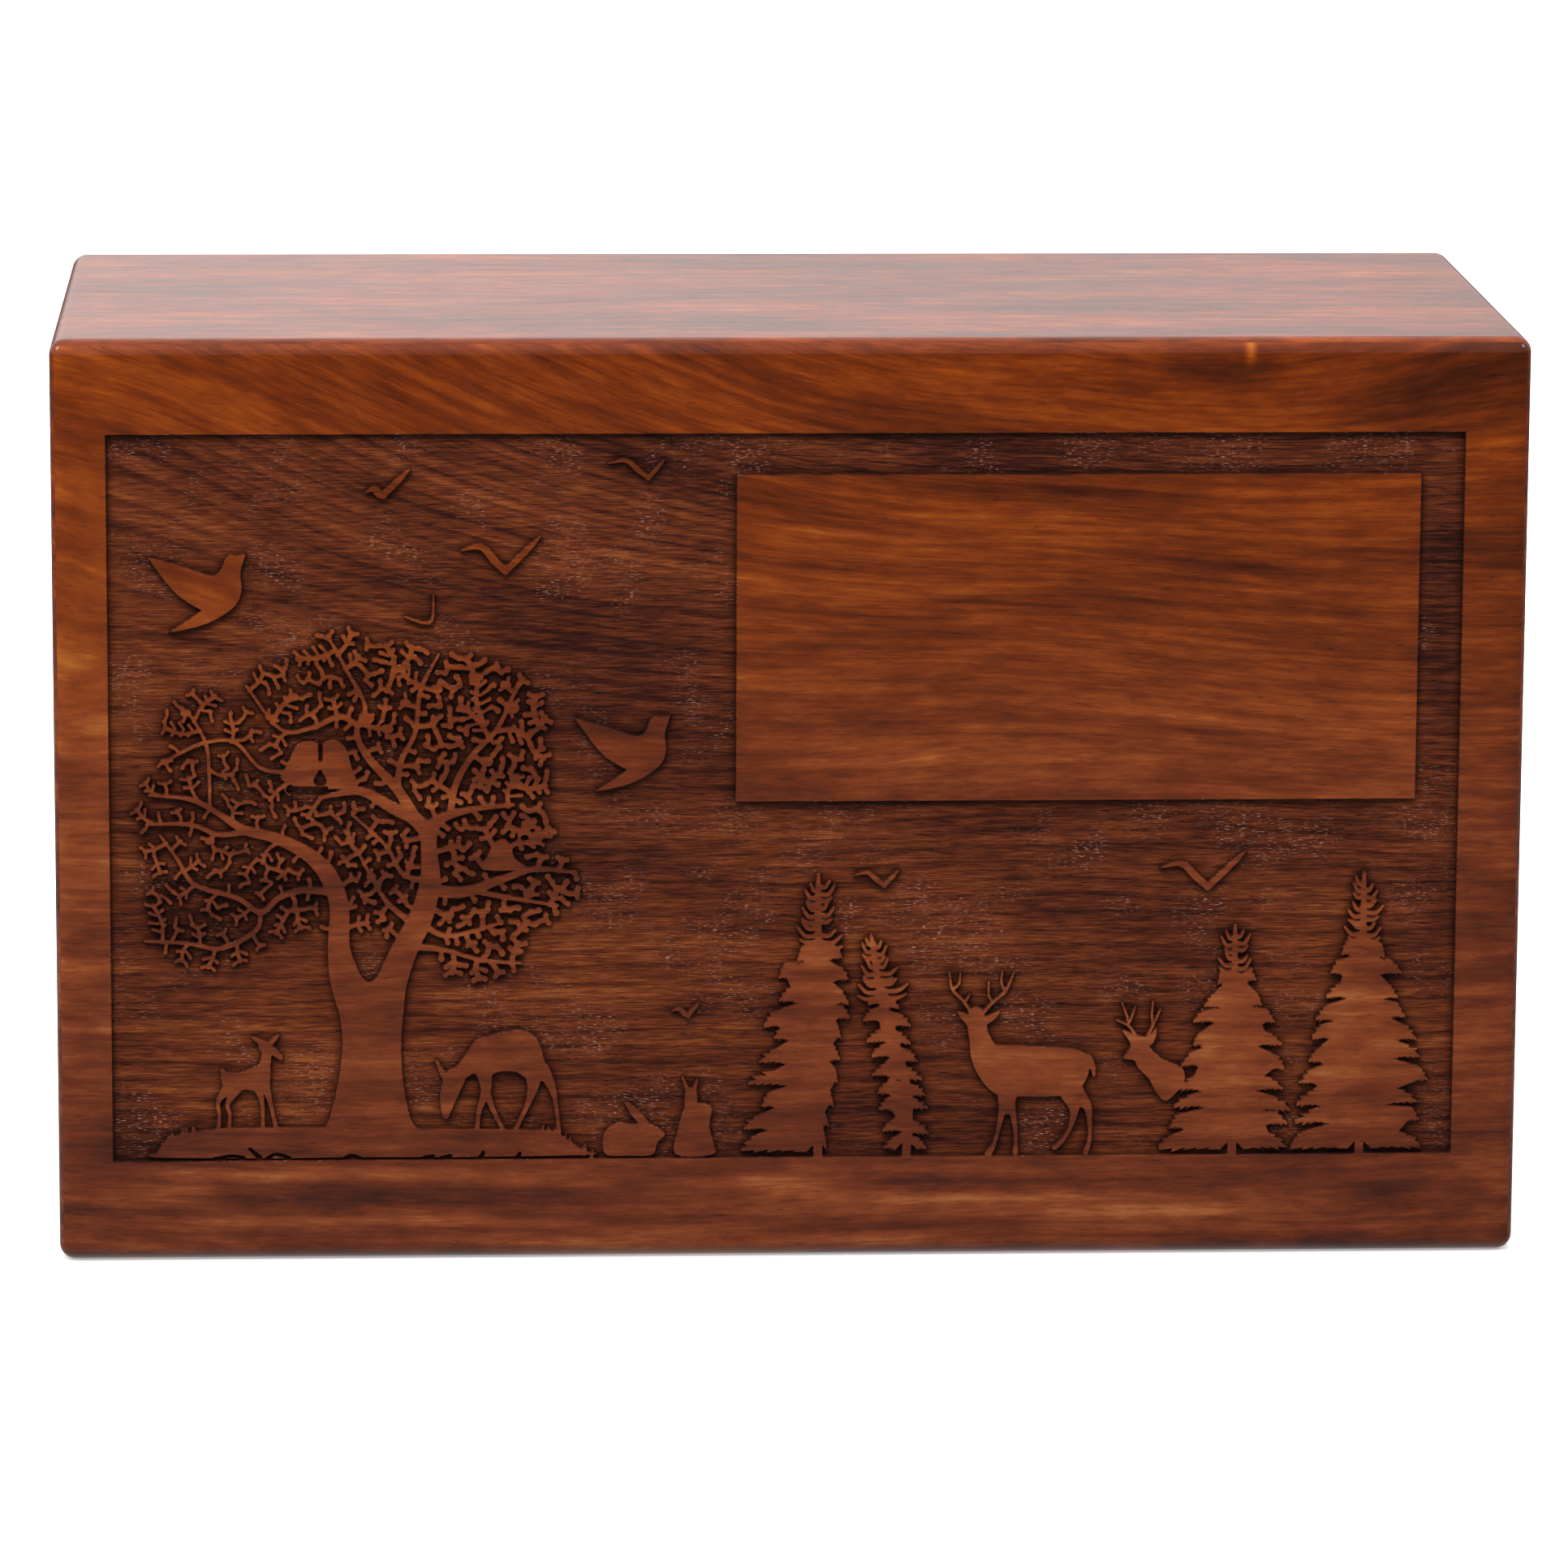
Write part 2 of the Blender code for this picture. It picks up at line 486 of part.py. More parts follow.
# The mound under the tree, and the small gaps cut in it and between the perched birds
MOUND = (
    (-122.4, 18.6), (-120.6, 22.4), (-117.0, 24.6), (-112.0, 25.9), (-100.0, 26.2), (-58.0, 25.6),
    (-48.0, 25.3), (-43.0, 23.6), (-39.0, 21.0), (-37.4, 18.6),
)
GAPS = (
    ((-110.0, 20.2, 0.7), (-105.0, 20.2, 0.7)), ((-104.2, 19.8, 0.5), (-101.4, 21.6, 0.5)),
    ((-98.4, 20.2, 0.7), (-95.4, 20.4, 0.7)), ((-85.6, 20.2, 0.8), (-82.4, 20.4, 0.8)),
    ((-70.6, 19.6, 0.4), (-69.0, 21.4, 0.4)), ((-59.4, 19.6, 0.4), (-57.6, 21.2, 0.4)),
    ((-89.5, 97.8, 0.45), (-89.5, 102.4, 0.45)), ((-89.5, 93.2, 1.5), (-89.5, 95.6, 0.3)),
)


def picture():
    """The outlines of the picture on the sheet: what is left standing, and the gaps cut in that."""
    chance = random.Random(SEED)
    raised = great_tree(chance) + [outline(MOUND)]
    raised += stag() + watching_stag() + grazing_doe() + fawn() + hares()
    for values in FIRS:
        raised += fir(*values, chance)
    raised += [dove(*values) for values in DOVES] + [gull(*values) for values in GULLS]
    return raised, [limb(points) for points in GAPS]


def on_board(point):
    """A point of the sheet, on the front board, as (x, z) in metres."""
    across = (point.x - SHEET_LEFT) / (SHEET_RIGHT - SHEET_LEFT)
    up = (point.y - SHEET_BOTTOM) / (SHEET_TOP - SHEET_BOTTOM)
    return Vector((field_left + across * (field_right - field_left),
                   field_bottom + up * (field_top - field_bottom)))


def anticlockwise(loop):
    twice_area = sum(loop[i - 1].cross(loop[i]) for i in range(len(loop)))
    return loop if twice_area > 0 else loop[::-1]


def rectangle(left, bottom, right, top):
    return [Vector(p) for p in ((left, bottom), (right, bottom), (right, top), (left, top))]


def engraved_triangles():
    """The field less the plate and the picture, as points and triangles."""
    plate_right = field_right - PLATE_RIGHT_GAP
    plate_top = field_top - PLATE_TOP_GAP
    loops = [rectangle(field_left, field_bottom, field_right, field_top),
             rectangle(plate_right - PLATE_WIDTH, plate_top - PLATE_HEIGHT, plate_right, plate_top)]
    raised, gaps = picture()
    loops += [anticlockwise([on_board(p) for p in loop]) for loop in raised + gaps]
    first_gap = len(loops) - len(gaps)
    points, faces = [], []
    for loop in loops:
        faces.append(list(range(len(points), len(points) + len(loop))))
        points += loop
    spots, _, triangles, _, _, owners = delaunay_2d_cdt(points, [], faces, 1, NEAREST, True)
    return spots, [t for t, own in zip(triangles, owners)
                   if 0 in own and 1 not in own and (len(own) == 1 or max(own) >= first_gap)]


def regions(faces):
    """Groups faces that share edges."""
    unseen = set(faces)
    while unseen:
        region = [unseen.pop()]
        for face in region:
            for edge in face.edges:
                for other in edge.link_faces:
                    if other in unseen:
                        unseen.remove(other)
                        region.append(other)
        yield region


def leave_standing(bm):
    """Fills what is too small to cut, and the corners where two cuts only touch."""
    specks = [face for region in regions(bm.faces) for face in region
              if sum(f.calc_area() for f in region) < FINEST_GAP]
    bmesh.ops.delete(bm, geom=specks, context="FACES")
    touching = True
    while touching:
        touching = {face for vert in bm.verts if sum(edge.is_boundary for edge in vert.link_edges) > 2
                    for face in vert.link_faces}
        bmesh.ops.delete(bm, geom=list(touching), context="FACES")


def engraving_cutter():
    """A closed prism over the engraved area, from before the front face to the field's floor."""
    spots, triangles = engraved_triangles()
    bm = bmesh.new()
    verts = [bm.verts.new((spot.x, front_face - OVERCUT, spot.y)) for spot in spots]
    for triangle in triangles:
        bm.faces.new([verts[k] for k in triangle])
    bmesh.ops.remove_doubles(bm, verts=verts, dist=SAME_SPOT)
    leave_standing(bm)
    bmesh.ops.delete(bm, geom=[vert for vert in bm.verts if not vert.link_faces], context="VERTS")
    grown = bmesh.ops.extrude_face_region(bm, geom=bm.faces[:], use_keep_orig=True)["geom"]
    bmesh.ops.translate(bm, verts=[part for part in grown if isinstance(part, bmesh.types.BMVert)],
                        vec=(0.0, OVERCUT + FIELD_DEPTH, 0.0))
    return add_object("engraving_cutter", bm)


# The box


def mitred_board(name, axis, side, finish, outer_form):
    """One board: a slab cut at 45 degrees where it meets its neighbours, rounded with the box.
    axis is 0, 1 or 2 for the way it faces, and side is -1 or 1."""
    low = (-WIDTH / 2, -DEPTH / 2, 0.0)
    high = (WIDTH / 2, DEPTH / 2, HEIGHT)
    face = low[axis] if side < 0 else high[axis]
    others = [i for i in range(3) if i != axis]
    bm = bmesh.new()
    for depth in (-OVERCUT, BOARD):
        inset = depth + GLUE_LINE / math.sqrt(2)
        for first in (-1, 1):
            for second in (-1, 1):
                corner = [0.0, 0.0, 0.0]
                corner[axis] = face - side * depth
                for i, end in zip(others, (first, second)):
                    if end > 0:
                        corner[i] = high[i] - inset
                    elif i == 2:
                        corner[i] = -OVERCUT
                    else:
                        corner[i] = low[i] + inset
                bm.verts.new(corner)
    bmesh.ops.convex_hull(bm, input=bm.verts)
    board = add_object(name, bm, finish)
    boolean(board, outer_form, "INTERSECT")
    return board


def screw_places():
    """The screws' axes, over the middle of the rebate's shoulder in each side board."""
    x = WIDTH / 2 - LIP - (BOARD - LIP) / 2
    y = DEPTH / 2 - SCREW_SETBACK
    return [(sx * x, sy * y, SCREW_SUNK) for sx in (-1, 1) for sy in (-1, 1)]


def screw_profile(fit):
    """Radius and height of a countersunk screw from its head up. With a fit it is the screw's
    hole, wider all round and open below."""
    return [(SCREW_HEAD_RADIUS + fit, -OVERCUT if fit else 0.0),
            (SCREW_HEAD_RADIUS + fit, SCREW_RIM),
            (SCREW_RADIUS + fit, SCREW_HEAD_HEIGHT),
            (SCREW_RADIUS + fit, SCREW_LENGTH - SCREW_POINT),
            (0.0, SCREW_LENGTH + fit)]


def base_screw(name, place, finish):
    screw = turned(name, screw_profile(0.0), place, finish)
    x, y, z = place
    reach = SCREW_HEAD_RADIUS + OVERCUT
    slot = block(f"{name}_slot", (x - reach, y - SLOT_WIDTH / 2, z - OVERCUT),
                 (x + reach, y + SLOT_WIDTH / 2, z + SLOT_DEPTH))
    boolean(screw, slot, "DIFFERENCE")
    return screw


def build():
    clear_scene()
    rosewood = material("polished rosewood", (0.27, 0.08, 0.025), 0.25)
    brass = material("aged brass", (0.62, 0.45, 0.2), 0.35, 1.0)
    outer_form = block("outer_form", (-WIDTH / 2, -DEPTH / 2, 0.0), (WIDTH / 2, DEPTH / 2, HEIGHT),
                       radius=EDGE_RADIUS, steps=EDGE_STEPS)
    rebate = block("rebate_cutter", (-WIDTH / 2 + LIP, -DEPTH / 2 + LIP, -OVERCUT),
                   (WIDTH / 2 - LIP, DEPTH / 2 - LIP, BASE_THICKNESS + BASE_FIT))
    boards = {}
    for name, axis, side in (("front_board", 1, -1), ("back_board", 1, 1), ("left_board", 0, -1),
                             ("right_board", 0, 1), ("top_board", 2, 1)):
        boards[name] = mitred_board(name, axis, side, rosewood, outer_form)
        if axis != 2:
            boolean(boards[name], rebate, "DIFFERENCE")
    boolean(boards["front_board"], engraving_cutter(), "DIFFERENCE")

    inset = LIP + BASE_FIT
    base = block("base_panel", (-WIDTH / 2 + inset, -DEPTH / 2 + inset, 0.0),
                 (WIDTH / 2 - inset, DEPTH / 2 - inset, BASE_THICKNESS), rosewood, BASE_CHAMFER)
    for number, place in enumerate(screw_places(), 1):
        base_screw(f"base_screw_{number}", place, brass)
        hole = turned(f"screw_hole_{number}", screw_profile(SCREW_FIT), place)
        boolean(base, hole, "DIFFERENCE")
        boolean(boards["left_board" if place[0] < 0 else "right_board"], hole, "DIFFERENCE")


build()
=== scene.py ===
# A hollow urn box in polished rosewood, with a woodland scene engraved round a blank name plate.
# Metres, +Z up and the front towards -Y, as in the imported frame. The picture is drawn in millimetres.

import math
import random

import bmesh
import bpy
import numpy as np
from mathutils import Matrix, Vector
from mathutils.geometry import delaunay_2d_cdt


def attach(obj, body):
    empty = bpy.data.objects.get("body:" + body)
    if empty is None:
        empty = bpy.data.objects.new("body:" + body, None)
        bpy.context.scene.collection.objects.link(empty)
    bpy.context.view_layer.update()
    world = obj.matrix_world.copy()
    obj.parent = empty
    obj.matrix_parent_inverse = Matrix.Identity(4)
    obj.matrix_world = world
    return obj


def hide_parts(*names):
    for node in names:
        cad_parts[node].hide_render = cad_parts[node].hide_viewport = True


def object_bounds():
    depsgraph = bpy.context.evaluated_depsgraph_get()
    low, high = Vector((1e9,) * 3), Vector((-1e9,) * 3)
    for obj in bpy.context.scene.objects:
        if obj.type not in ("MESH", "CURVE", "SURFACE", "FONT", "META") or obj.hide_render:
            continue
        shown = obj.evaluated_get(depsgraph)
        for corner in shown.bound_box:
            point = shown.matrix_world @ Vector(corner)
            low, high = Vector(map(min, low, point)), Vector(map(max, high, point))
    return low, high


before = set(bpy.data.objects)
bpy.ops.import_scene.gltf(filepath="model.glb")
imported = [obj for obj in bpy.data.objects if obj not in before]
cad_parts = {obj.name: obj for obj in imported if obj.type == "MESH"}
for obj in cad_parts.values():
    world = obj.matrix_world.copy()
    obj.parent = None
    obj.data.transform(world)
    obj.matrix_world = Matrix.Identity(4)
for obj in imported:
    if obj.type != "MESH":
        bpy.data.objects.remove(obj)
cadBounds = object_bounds()
boxLow, boxHigh = cadBounds
mm = 0.001
print("frame loaded:", ", ".join(sorted(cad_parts)))


# The camera stands where the photograph was taken from
cameraView = {
    "lens": 186.34,  # mm
    "sensor": 36.0,
    "distance": 1.609,
    "target": (0.0017, 0.0, 0.0801),
    "yaw": -2.87,
    "pitch": 11.18,
    "roll": 0.30,
}


def addCamera(look):
    yaw, pitch, roll = (math.radians(look[key]) for key in ("yaw", "pitch", "roll"))
    back = Vector((math.sin(yaw) * math.cos(pitch), -math.cos(yaw) * math.cos(pitch), math.sin(pitch)))
    level = Vector((math.cos(yaw), math.sin(yaw), 0.0))
    upright = back.cross(level)
    right = level * math.cos(roll) + upright * math.sin(roll)
    up = upright * math.cos(roll) - level * math.sin(roll)
    camera = bpy.data.objects.new("camera", bpy.data.cameras.new("camera"))
    bpy.context.scene.collection.objects.link(camera)
    camera.data.lens = look["lens"]
    camera.data.sensor_width = look["sensor"]
    camera.data.dof.use_dof = False
    camera.data.clip_start = 0.05
    camera.matrix_world = Matrix.Translation(Vector(look["target"]) + back * look["distance"]) @ (
        Matrix((right, up, back)).transposed().to_4x4())
    bpy.context.scene.camera = camera


# Materials and their nodes


def linear(hexColour):
    # an sRGB hex colour as the linear colour that a shader wants
    shares = [int(hexColour[k:k + 2], 16) / 255 for k in (0, 2, 4)]
    return (*(s / 12.92 if s <= 0.04045 else ((s + 0.055) / 1.055) ** 2.4 for s in shares), 1.0)


def addNode(tree, kind, settings, inputs):
    # settings are the node's own, inputs are values or the sockets to link from
    node = tree.nodes.new(kind)
    for key, value in settings.items():
        if key == "stops":
            elements = node.color_ramp.elements
            elements[0].position, elements[-1].position = value[0][0], value[-1][0]
            elements[0].color, elements[-1].color = value[0][1], value[-1][1]
            for position, colour in value[1:-1]:
                elements.new(position).color = colour
        else:
            setattr(node, key, value)
    for key, value in inputs.items():
        if isinstance(value, bpy.types.NodeSocket):
            tree.links.new(value, node.inputs[key])
        else:
            node.inputs[key].default_value = value
    return node


def newMaterial(name):
    material = bpy.data.materials.new(name)
    material.use_nodes = True
    tree = material.node_tree
    return material, tree, tree.nodes["Principled BSDF"]


# How rosewood is figured, in mm: along the grain, across it and into the board. The weights say how
# much each layer lightens or darkens the wood, polished and engraved.
rosewoodGrain = {
    "layers": {
        # name: (size along, across, into), detail, weights, whether it rises with the sweeps
        "heartwood": ((80.0, 17.0, 60.0), 3.0, (0.44, 0.42), True),  # broad light and dark zones
        "streaks": ((36.0, 3.2, 24.0), 3.0, (0.36, 0.30), True),  # ribbons a few mm wide
        "figure": ((9.0, 3.6, 12.0), 3.0, (0.30, 0.16), True),  # mottle where the grain dips in and out
        "flecks": ((6.0, 0.62, 3.0), 2.0, (0.18, 0.14), True),  # short dashes
        "fibres": ((4.6, 0.30, 2.0), 2.0, (0.08, 0.56), False),  # a little coarser than real ones, to show
    },
    "wanderSize": (120.0, 45.0, 80.0),  # the slow drift of all the lines
    "roughness": 0.6,  # how strongly the layers break up into finer noise
    "ringWidth": 3.1,  # between the dark late wood lines
    "ringWander": 2.2,  # in rings
    "ringWeights": (-0.07, -0.18),
    "poreSize": (3.0, 0.24, 1.4),  # vessels 0.25 mm wide, cut open along the grain
    "poreShare": 0.655,
    "poreEdge": 0.07,
    "poreWeights": (-0.18, -0.28),
    "base": 0.55,
}


def sweptLevel(board, x, height):
    # where a spot of the board lies across the grain
    level = height
    for rise, start, end, low, high in board.get("sweeps", ()):
        shares = ((x - start) / (end - start), (height - low) / (high - low))
        along, up = (min(max(share, 0.0), 1.0) for share in shares)
        level += rise * (along * along * (3 - 2 * along) - 0.5) * up * up * (3 - 2 * up)
    return level


def stretchedNoise(tree, place, size, detail, cut=(0.0, 0.0, 0.0), roughness=0.5):
    # noise drawn out to a size in mm: along the grain, across it and into the board
    sized = addNode(tree, "ShaderNodeMapping", {"vector_type": "TEXTURE"},
                    {"Vector": place, "Location": cut, "Scale": size})
    noise = addNode(tree, "ShaderNodeTexNoise", {},
                    {"Vector": sized.outputs[0], "Scale": 1.0, "Detail": detail, "Roughness": roughness})
    return noise.outputs["Fac"]


def stopsOf(tones):
    return {"stops": [(share, linear(tone)) for share, tone in tones]}


def addGrain(tree, board, isEngraved=False):
    # the wood's lightness, from 0 for dark streaks to 1 for gold, and its fibres on their own
    place = addNode(tree, "ShaderNodeTexCoord", {}, {}).outputs["Object"]
    inMm = addNode(tree, "ShaderNodeVectorMath", {"operation": "SCALE"}, {0: place, "Scale": 1000.0})
    split = addNode(tree, "ShaderNodeSeparateXYZ", {}, {0: inMm.outputs[0]})
    along, level, into = (split.outputs[axis] for axis in board["axes"])
    across = level
    for rise, start, end, low, high in board.get("sweeps", ()):
        # the grain falls by rise from start to end, the more so the higher it lies
        fall = addNode(tree, "ShaderNodeMapRange", {"interpolation_type": "SMOOTHSTEP"},
                       {"Value": along, "From Min": start, "From Max": end, "To Min": -rise / 2,
                        "To Max": rise / 2})
        share = addNode(tree, "ShaderNodeMapRange", {"interpolation_type": "SMOOTHSTEP"},
                        {"Value": level, "From Min": low, "From Max": high})
        across = addNode(tree, "ShaderNodeMath", {"operation": "MULTIPLY_ADD"},
                         {0: fall.outputs[0], 1: share.outputs[0], 2: across}).outputs[0]
    straight = addNode(tree, "ShaderNodeCombineXYZ", {}, {0: along, 1: level, 2: into}).outputs[0]
    swept = addNode(tree, "ShaderNodeCombineXYZ", {}, {0: along, 1: across, 2: into}).outputs[0]
    wander = stretchedNoise(tree, swept, rosewoodGrain["wanderSize"], 1.5, board["cut"])
    across = addNode(tree, "ShaderNodeMath", {"operation": "MULTIPLY_ADD"},
                     {0: wander, 1: board["wander"], 2: across}).outputs[0]
    flow = addNode(tree, "ShaderNodeCombineXYZ", {}, {0: along, 1: across, 2: into}).outputs[0]

    grain = rosewoodGrain
    tone = grain["base"]
    made = {}
    for name, (size, detail, weights, doesRise) in grain["layers"].items():
        noise = stretchedNoise(tree, flow if doesRise else straight, size, detail, board["cut"],
                               grain["roughness"])
        centred = addNode(tree, "ShaderNodeMath", {"operation": "SUBTRACT"}, {0: noise, 1: 0.5})
        tone = addNode(tree, "ShaderNodeMath", {"operation": "MULTIPLY_ADD"},
                       {0: centred.outputs[0], 1: weights[isEngraved] * 2 * board.get("contrast", 1.0),
                        2: tone}).outputs[0]
        made[name] = noise

    # rings: the tone falls slowly to a dark line, then springs back
    ringPlace = addNode(tree, "ShaderNodeMath", {"operation": "DIVIDE"}, {0: across, 1: grain["ringWidth"]})
    wandered = addNode(tree, "ShaderNodeMath", {"operation": "MULTIPLY_ADD"},
                       {0: made["heartwood"], 1: grain["ringWander"], 2: ringPlace.outputs[0]})
    ring = addNode(tree, "ShaderNodeMath", {"operation": "FRACT"}, {0: wandered.outputs[0]})
    late = addNode(tree, "ShaderNodeValToRGB",
                   {"stops": ((0.0, (0, 0, 0, 1)), (0.55, (0.1, 0.1, 0.1, 1)), (0.86, (1, 1, 1, 1)),
                              (1.0, (0, 0, 0, 1)))}, {0: ring.outputs[0]})
    marked = addNode(tree, "ShaderNodeMath", {"operation": "MULTIPLY"},
                     {0: late.outputs["Color"], 1: made["figure"]})
    tone = addNode(tree, "ShaderNodeMath", {"operation": "MULTIPLY_ADD"},
                   {0: marked.outputs[0], 1: grain["ringWeights"][isEngraved] * 2, 2: tone}).outputs[0]

    vessels = stretchedNoise(tree, straight, grain["poreSize"], 1.0)
    pore = addNode(tree, "ShaderNodeMapRange", {"interpolation_type": "SMOOTHSTEP"},
                   {"Value": vessels, "From Min": grain["poreShare"],
                    "From Max": grain["poreShare"] + grain["poreEdge"]})
    tone = addNode(tree, "ShaderNodeMath", {"operation": "MULTIPLY_ADD"},
                   {0: pore.outputs[0], 1: grain["poreWeights"][isEngraved], 2: tone}).outputs[0]

    ownMarks = board.get("groundMarks" if isEngraved else "faceMarks", ())
    for x, height, reachAlong, reachAcross, weight in (*board.get("marks", ()), *ownMarks):
        # a lighter or darker place that follows the grain
        spot = addNode(tree, "ShaderNodeMapping", {"vector_type": "TEXTURE"},
                       {"Vector": swept, "Location": (x, sweptLevel(board, x, height), board["face"]),
                        "Scale": (reachAlong, reachAcross, 40.0)})
        reach = addNode(tree, "ShaderNodeVectorMath", {"operation": "LENGTH"}, {0: spot.outputs[0]})
        share = addNode(tree, "ShaderNodeMapRange", {"interpolation_type": "SMOOTHSTEP"},
                        {"Value": reach.outputs["Value"], "From Min": 1.0, "From Max": 0.0, "To Max": weight})
        tone = addNode(tree, "ShaderNodeMath", {"operation": "ADD"},
                       {0: tone, 1: share.outputs[0]}).outputs[0]
    return {"tone": tone, "fibres": made["fibres"], "pore": pore.outputs[0], "level": level,
            "straight": straight}


# Each board is cut from another place of the wood
boardGrain = {
    "front_board": {
        "axes": ("X", "Z", "Y"), "face": -63.5, "cut": (12.0, 3.0, 5.0), "wander": 9.0,
        # rise, start, end and the heights between which it grows, all in mm
        "sweeps": ((75.0, -165.0, 45.0, 95.0, 170.0), (-16.0, 60.0, 150.0, 125.0, 180.0),
                   (10.0, 30.0, 120.0, 80.0, 120.0)),
        # place, reach along and across the grain, and how much lighter it is
        "marks": (
            # a knot and the dark wood round it, and dark streaks in the name plate
            (83.0, 173.0, 16.0, 7.0, -0.22), (86.4, 176.0, 1.8, 5.0, 0.55), (40.0, 127.4, 30.0, 1.3, -0.24),
            (82.0, 134.6, 24.0, 2.2, -0.22), (50.0, 105.0, 60.0, 3.0, -0.14), (40.0, 96.0, 60.0, 8.0, 0.14),
            (44.0, 149.0, 64.0, 7.0, -0.34),
            # the left side is lighter, partly a painted sheen; the right side and its engraved channel darker
            (-138.0, 92.0, 26.0, 70.0, 0.08), (138.0, 120.0, 24.0, 70.0, -0.18),
            (126.0, 168.0, 40.0, 14.0, -0.38),
            (123.4, 120.0, 6.0, 60.0, -0.14), (136.0, 17.0, 12.0, 7.0, 0.22),
            # bands along the foot, pale ones that fall to the right and dark wood between them
            (-6.0, 14.6, 30.0, 2.6, 0.34), (30.0, 11.4, 40.0, 2.2, 0.34), (76.0, 8.6, 34.0, 2.0, 0.34),
            (60.0, 14.8, 70.0, 3.0, -0.30), (16.0, 6.4, 50.0, 3.2, -0.26), (118.0, 12.0, 26.0, 4.0, -0.20),
            (-80.0, 12.2, 60.0, 3.4, -0.36), (-84.0, 7.4, 60.0, 2.4, 0.28), (-90.0, 16.8, 70.0, 2.2, 0.26),
            (-124.0, 13.0, 18.0, 3.0, 0.18),
        ),
        # the same for the polished wood alone, and for the engraved ground alone
        "faceMarks": ((64.0, 46.0, 82.0, 30.0, 0.32), (-80.0, 25.0, 66.0, 14.0, -0.12)),
        "groundMarks": ((-40.0, 142.0, 64.0, 28.0, 0.16), (-90.0, 44.0, 70.0, 34.0, 0.13),
                        (64.0, 44.0, 90.0, 44.0, 0.15), (-20.0, 78.0, 70.0, 36.0, 0.10)),
    },
    "back_board": {
        "axes": ("X", "Z", "Y"), "face": 63.5, "cut": (-240.0, 71.0, 30.0), "wander": 16.0,
        "sweeps": ((-34.0, 0.0, 170.0, 40.0, 160.0),),
    },
    "left_board": {
        "axes": ("Y", "Z", "X"), "face": -140.0, "cut": (90.0, 33.0, 11.0), "wander": 14.0,
    },
    "right_board": {
        "axes": ("Y", "Z", "X"), "face": 140.0, "cut": (300.0, -51.0, 20.0), "wander": 18.0,
    },
    "top_board": {
        "axes": ("X", "Y", "Z"), "face": 178.0, "cut": (61.0, 95.0, -13.0), "wander": 14.0,
        "contrast": 1.15,  # so that the streaks show through the sheen
        "tinted": (-400.0, -100.0),  # all as golden as the top of the front
        # darker on the right: partly the wood's tone, partly painted shade for the sheen that fades there; a
        # little darker all over
        "marks": ((120.0, 0.0, 70.0, 80.0, -0.04), (0.0, 0.0, 400.0, 300.0, -0.12)),
    },
    "base_panel": {
        "axes": ("X", "Y", "Z"), "face": 0.0, "cut": (-31.0, 210.0, 40.0), "wander": 10.0,
    },
}

# Rosewood, sanded and lacquered: warm depth under a clear gloss, as wet wood looks
lacquer = {
    "tones": ((0.0, "3c170c"), (0.25, "582512"), (0.5, "7a3517"), (0.75, "9c4c23"), (1.0, "c0723a")),
    # by height in the box: the front is more golden at its top
    "tints": ((0.0, "e8e9f6"), (0.45, "f6f7f8"), (0.68, "fbf0b2"), (1.0, "ffe97c")),
    "roughness": 0.16,
    "unevenness": 0.05,  # how much the gloss varies
    "specular": 0.5,
    "ior": 1.5,
    "poreDepth": 0.03 * mm,  # what the lacquer leaves open of a pore
    "poreStrength": 0.25,
}


def lacqueredRosewood(name, board):
    material, tree, shader = newMaterial(name)
    grain = addGrain(tree, board)
    tones = addNode(tree, "ShaderNodeValToRGB",
                    stopsOf(lacquer["tones"]), {0: grain["tone"]})
    low, high = board.get("tinted", (20.0, 170.0))
    height = addNode(tree, "ShaderNodeMapRange", {},
                     {"Value": grain["level"], "From Min": low, "From Max": high})
    tint = addNode(tree, "ShaderNodeValToRGB",
                   stopsOf(lacquer["tints"]), {0: height.outputs[0]})
    wood = addNode(tree, "ShaderNodeMix", {"data_type": "RGBA", "blend_type": "MULTIPLY"},
                   {0: 1.0, 6: tones.outputs["Color"], 7: tint.outputs["Color"]})
    tree.links.new(wood.outputs[2], shader.inputs["Base Color"])

    # rubbing out the lacquer left the gloss a little uneven
    place = addNode(tree, "ShaderNodeTexCoord", {}, {}).outputs["Object"]
    cloud = addNode(tree, "ShaderNodeTexNoise", {}, {"Vector": place, "Scale": 70.0, "Detail": 3.0})
    rough = addNode(tree, "ShaderNodeMath", {"operation": "MULTIPLY_ADD"},
                    {0: cloud.outputs["Fac"], 1: lacquer["unevenness"] * 2,
                     2: lacquer["roughness"] - lacquer["unevenness"]})
    tree.links.new(rough.outputs[0], shader.inputs["Roughness"])
    bump = addNode(tree, "ShaderNodeBump", {"invert": True},
                   {"Height": grain["pore"], "Strength": lacquer["poreStrength"],
                    "Distance": lacquer["poreDepth"]})
    tree.links.new(bump.outputs[0], shader.inputs["Normal"])
    shader.inputs["Specular IOR Level"].default_value = lacquer["specular"]
    shader.inputs["IOR"].default_value = lacquer["ior"]
    return material


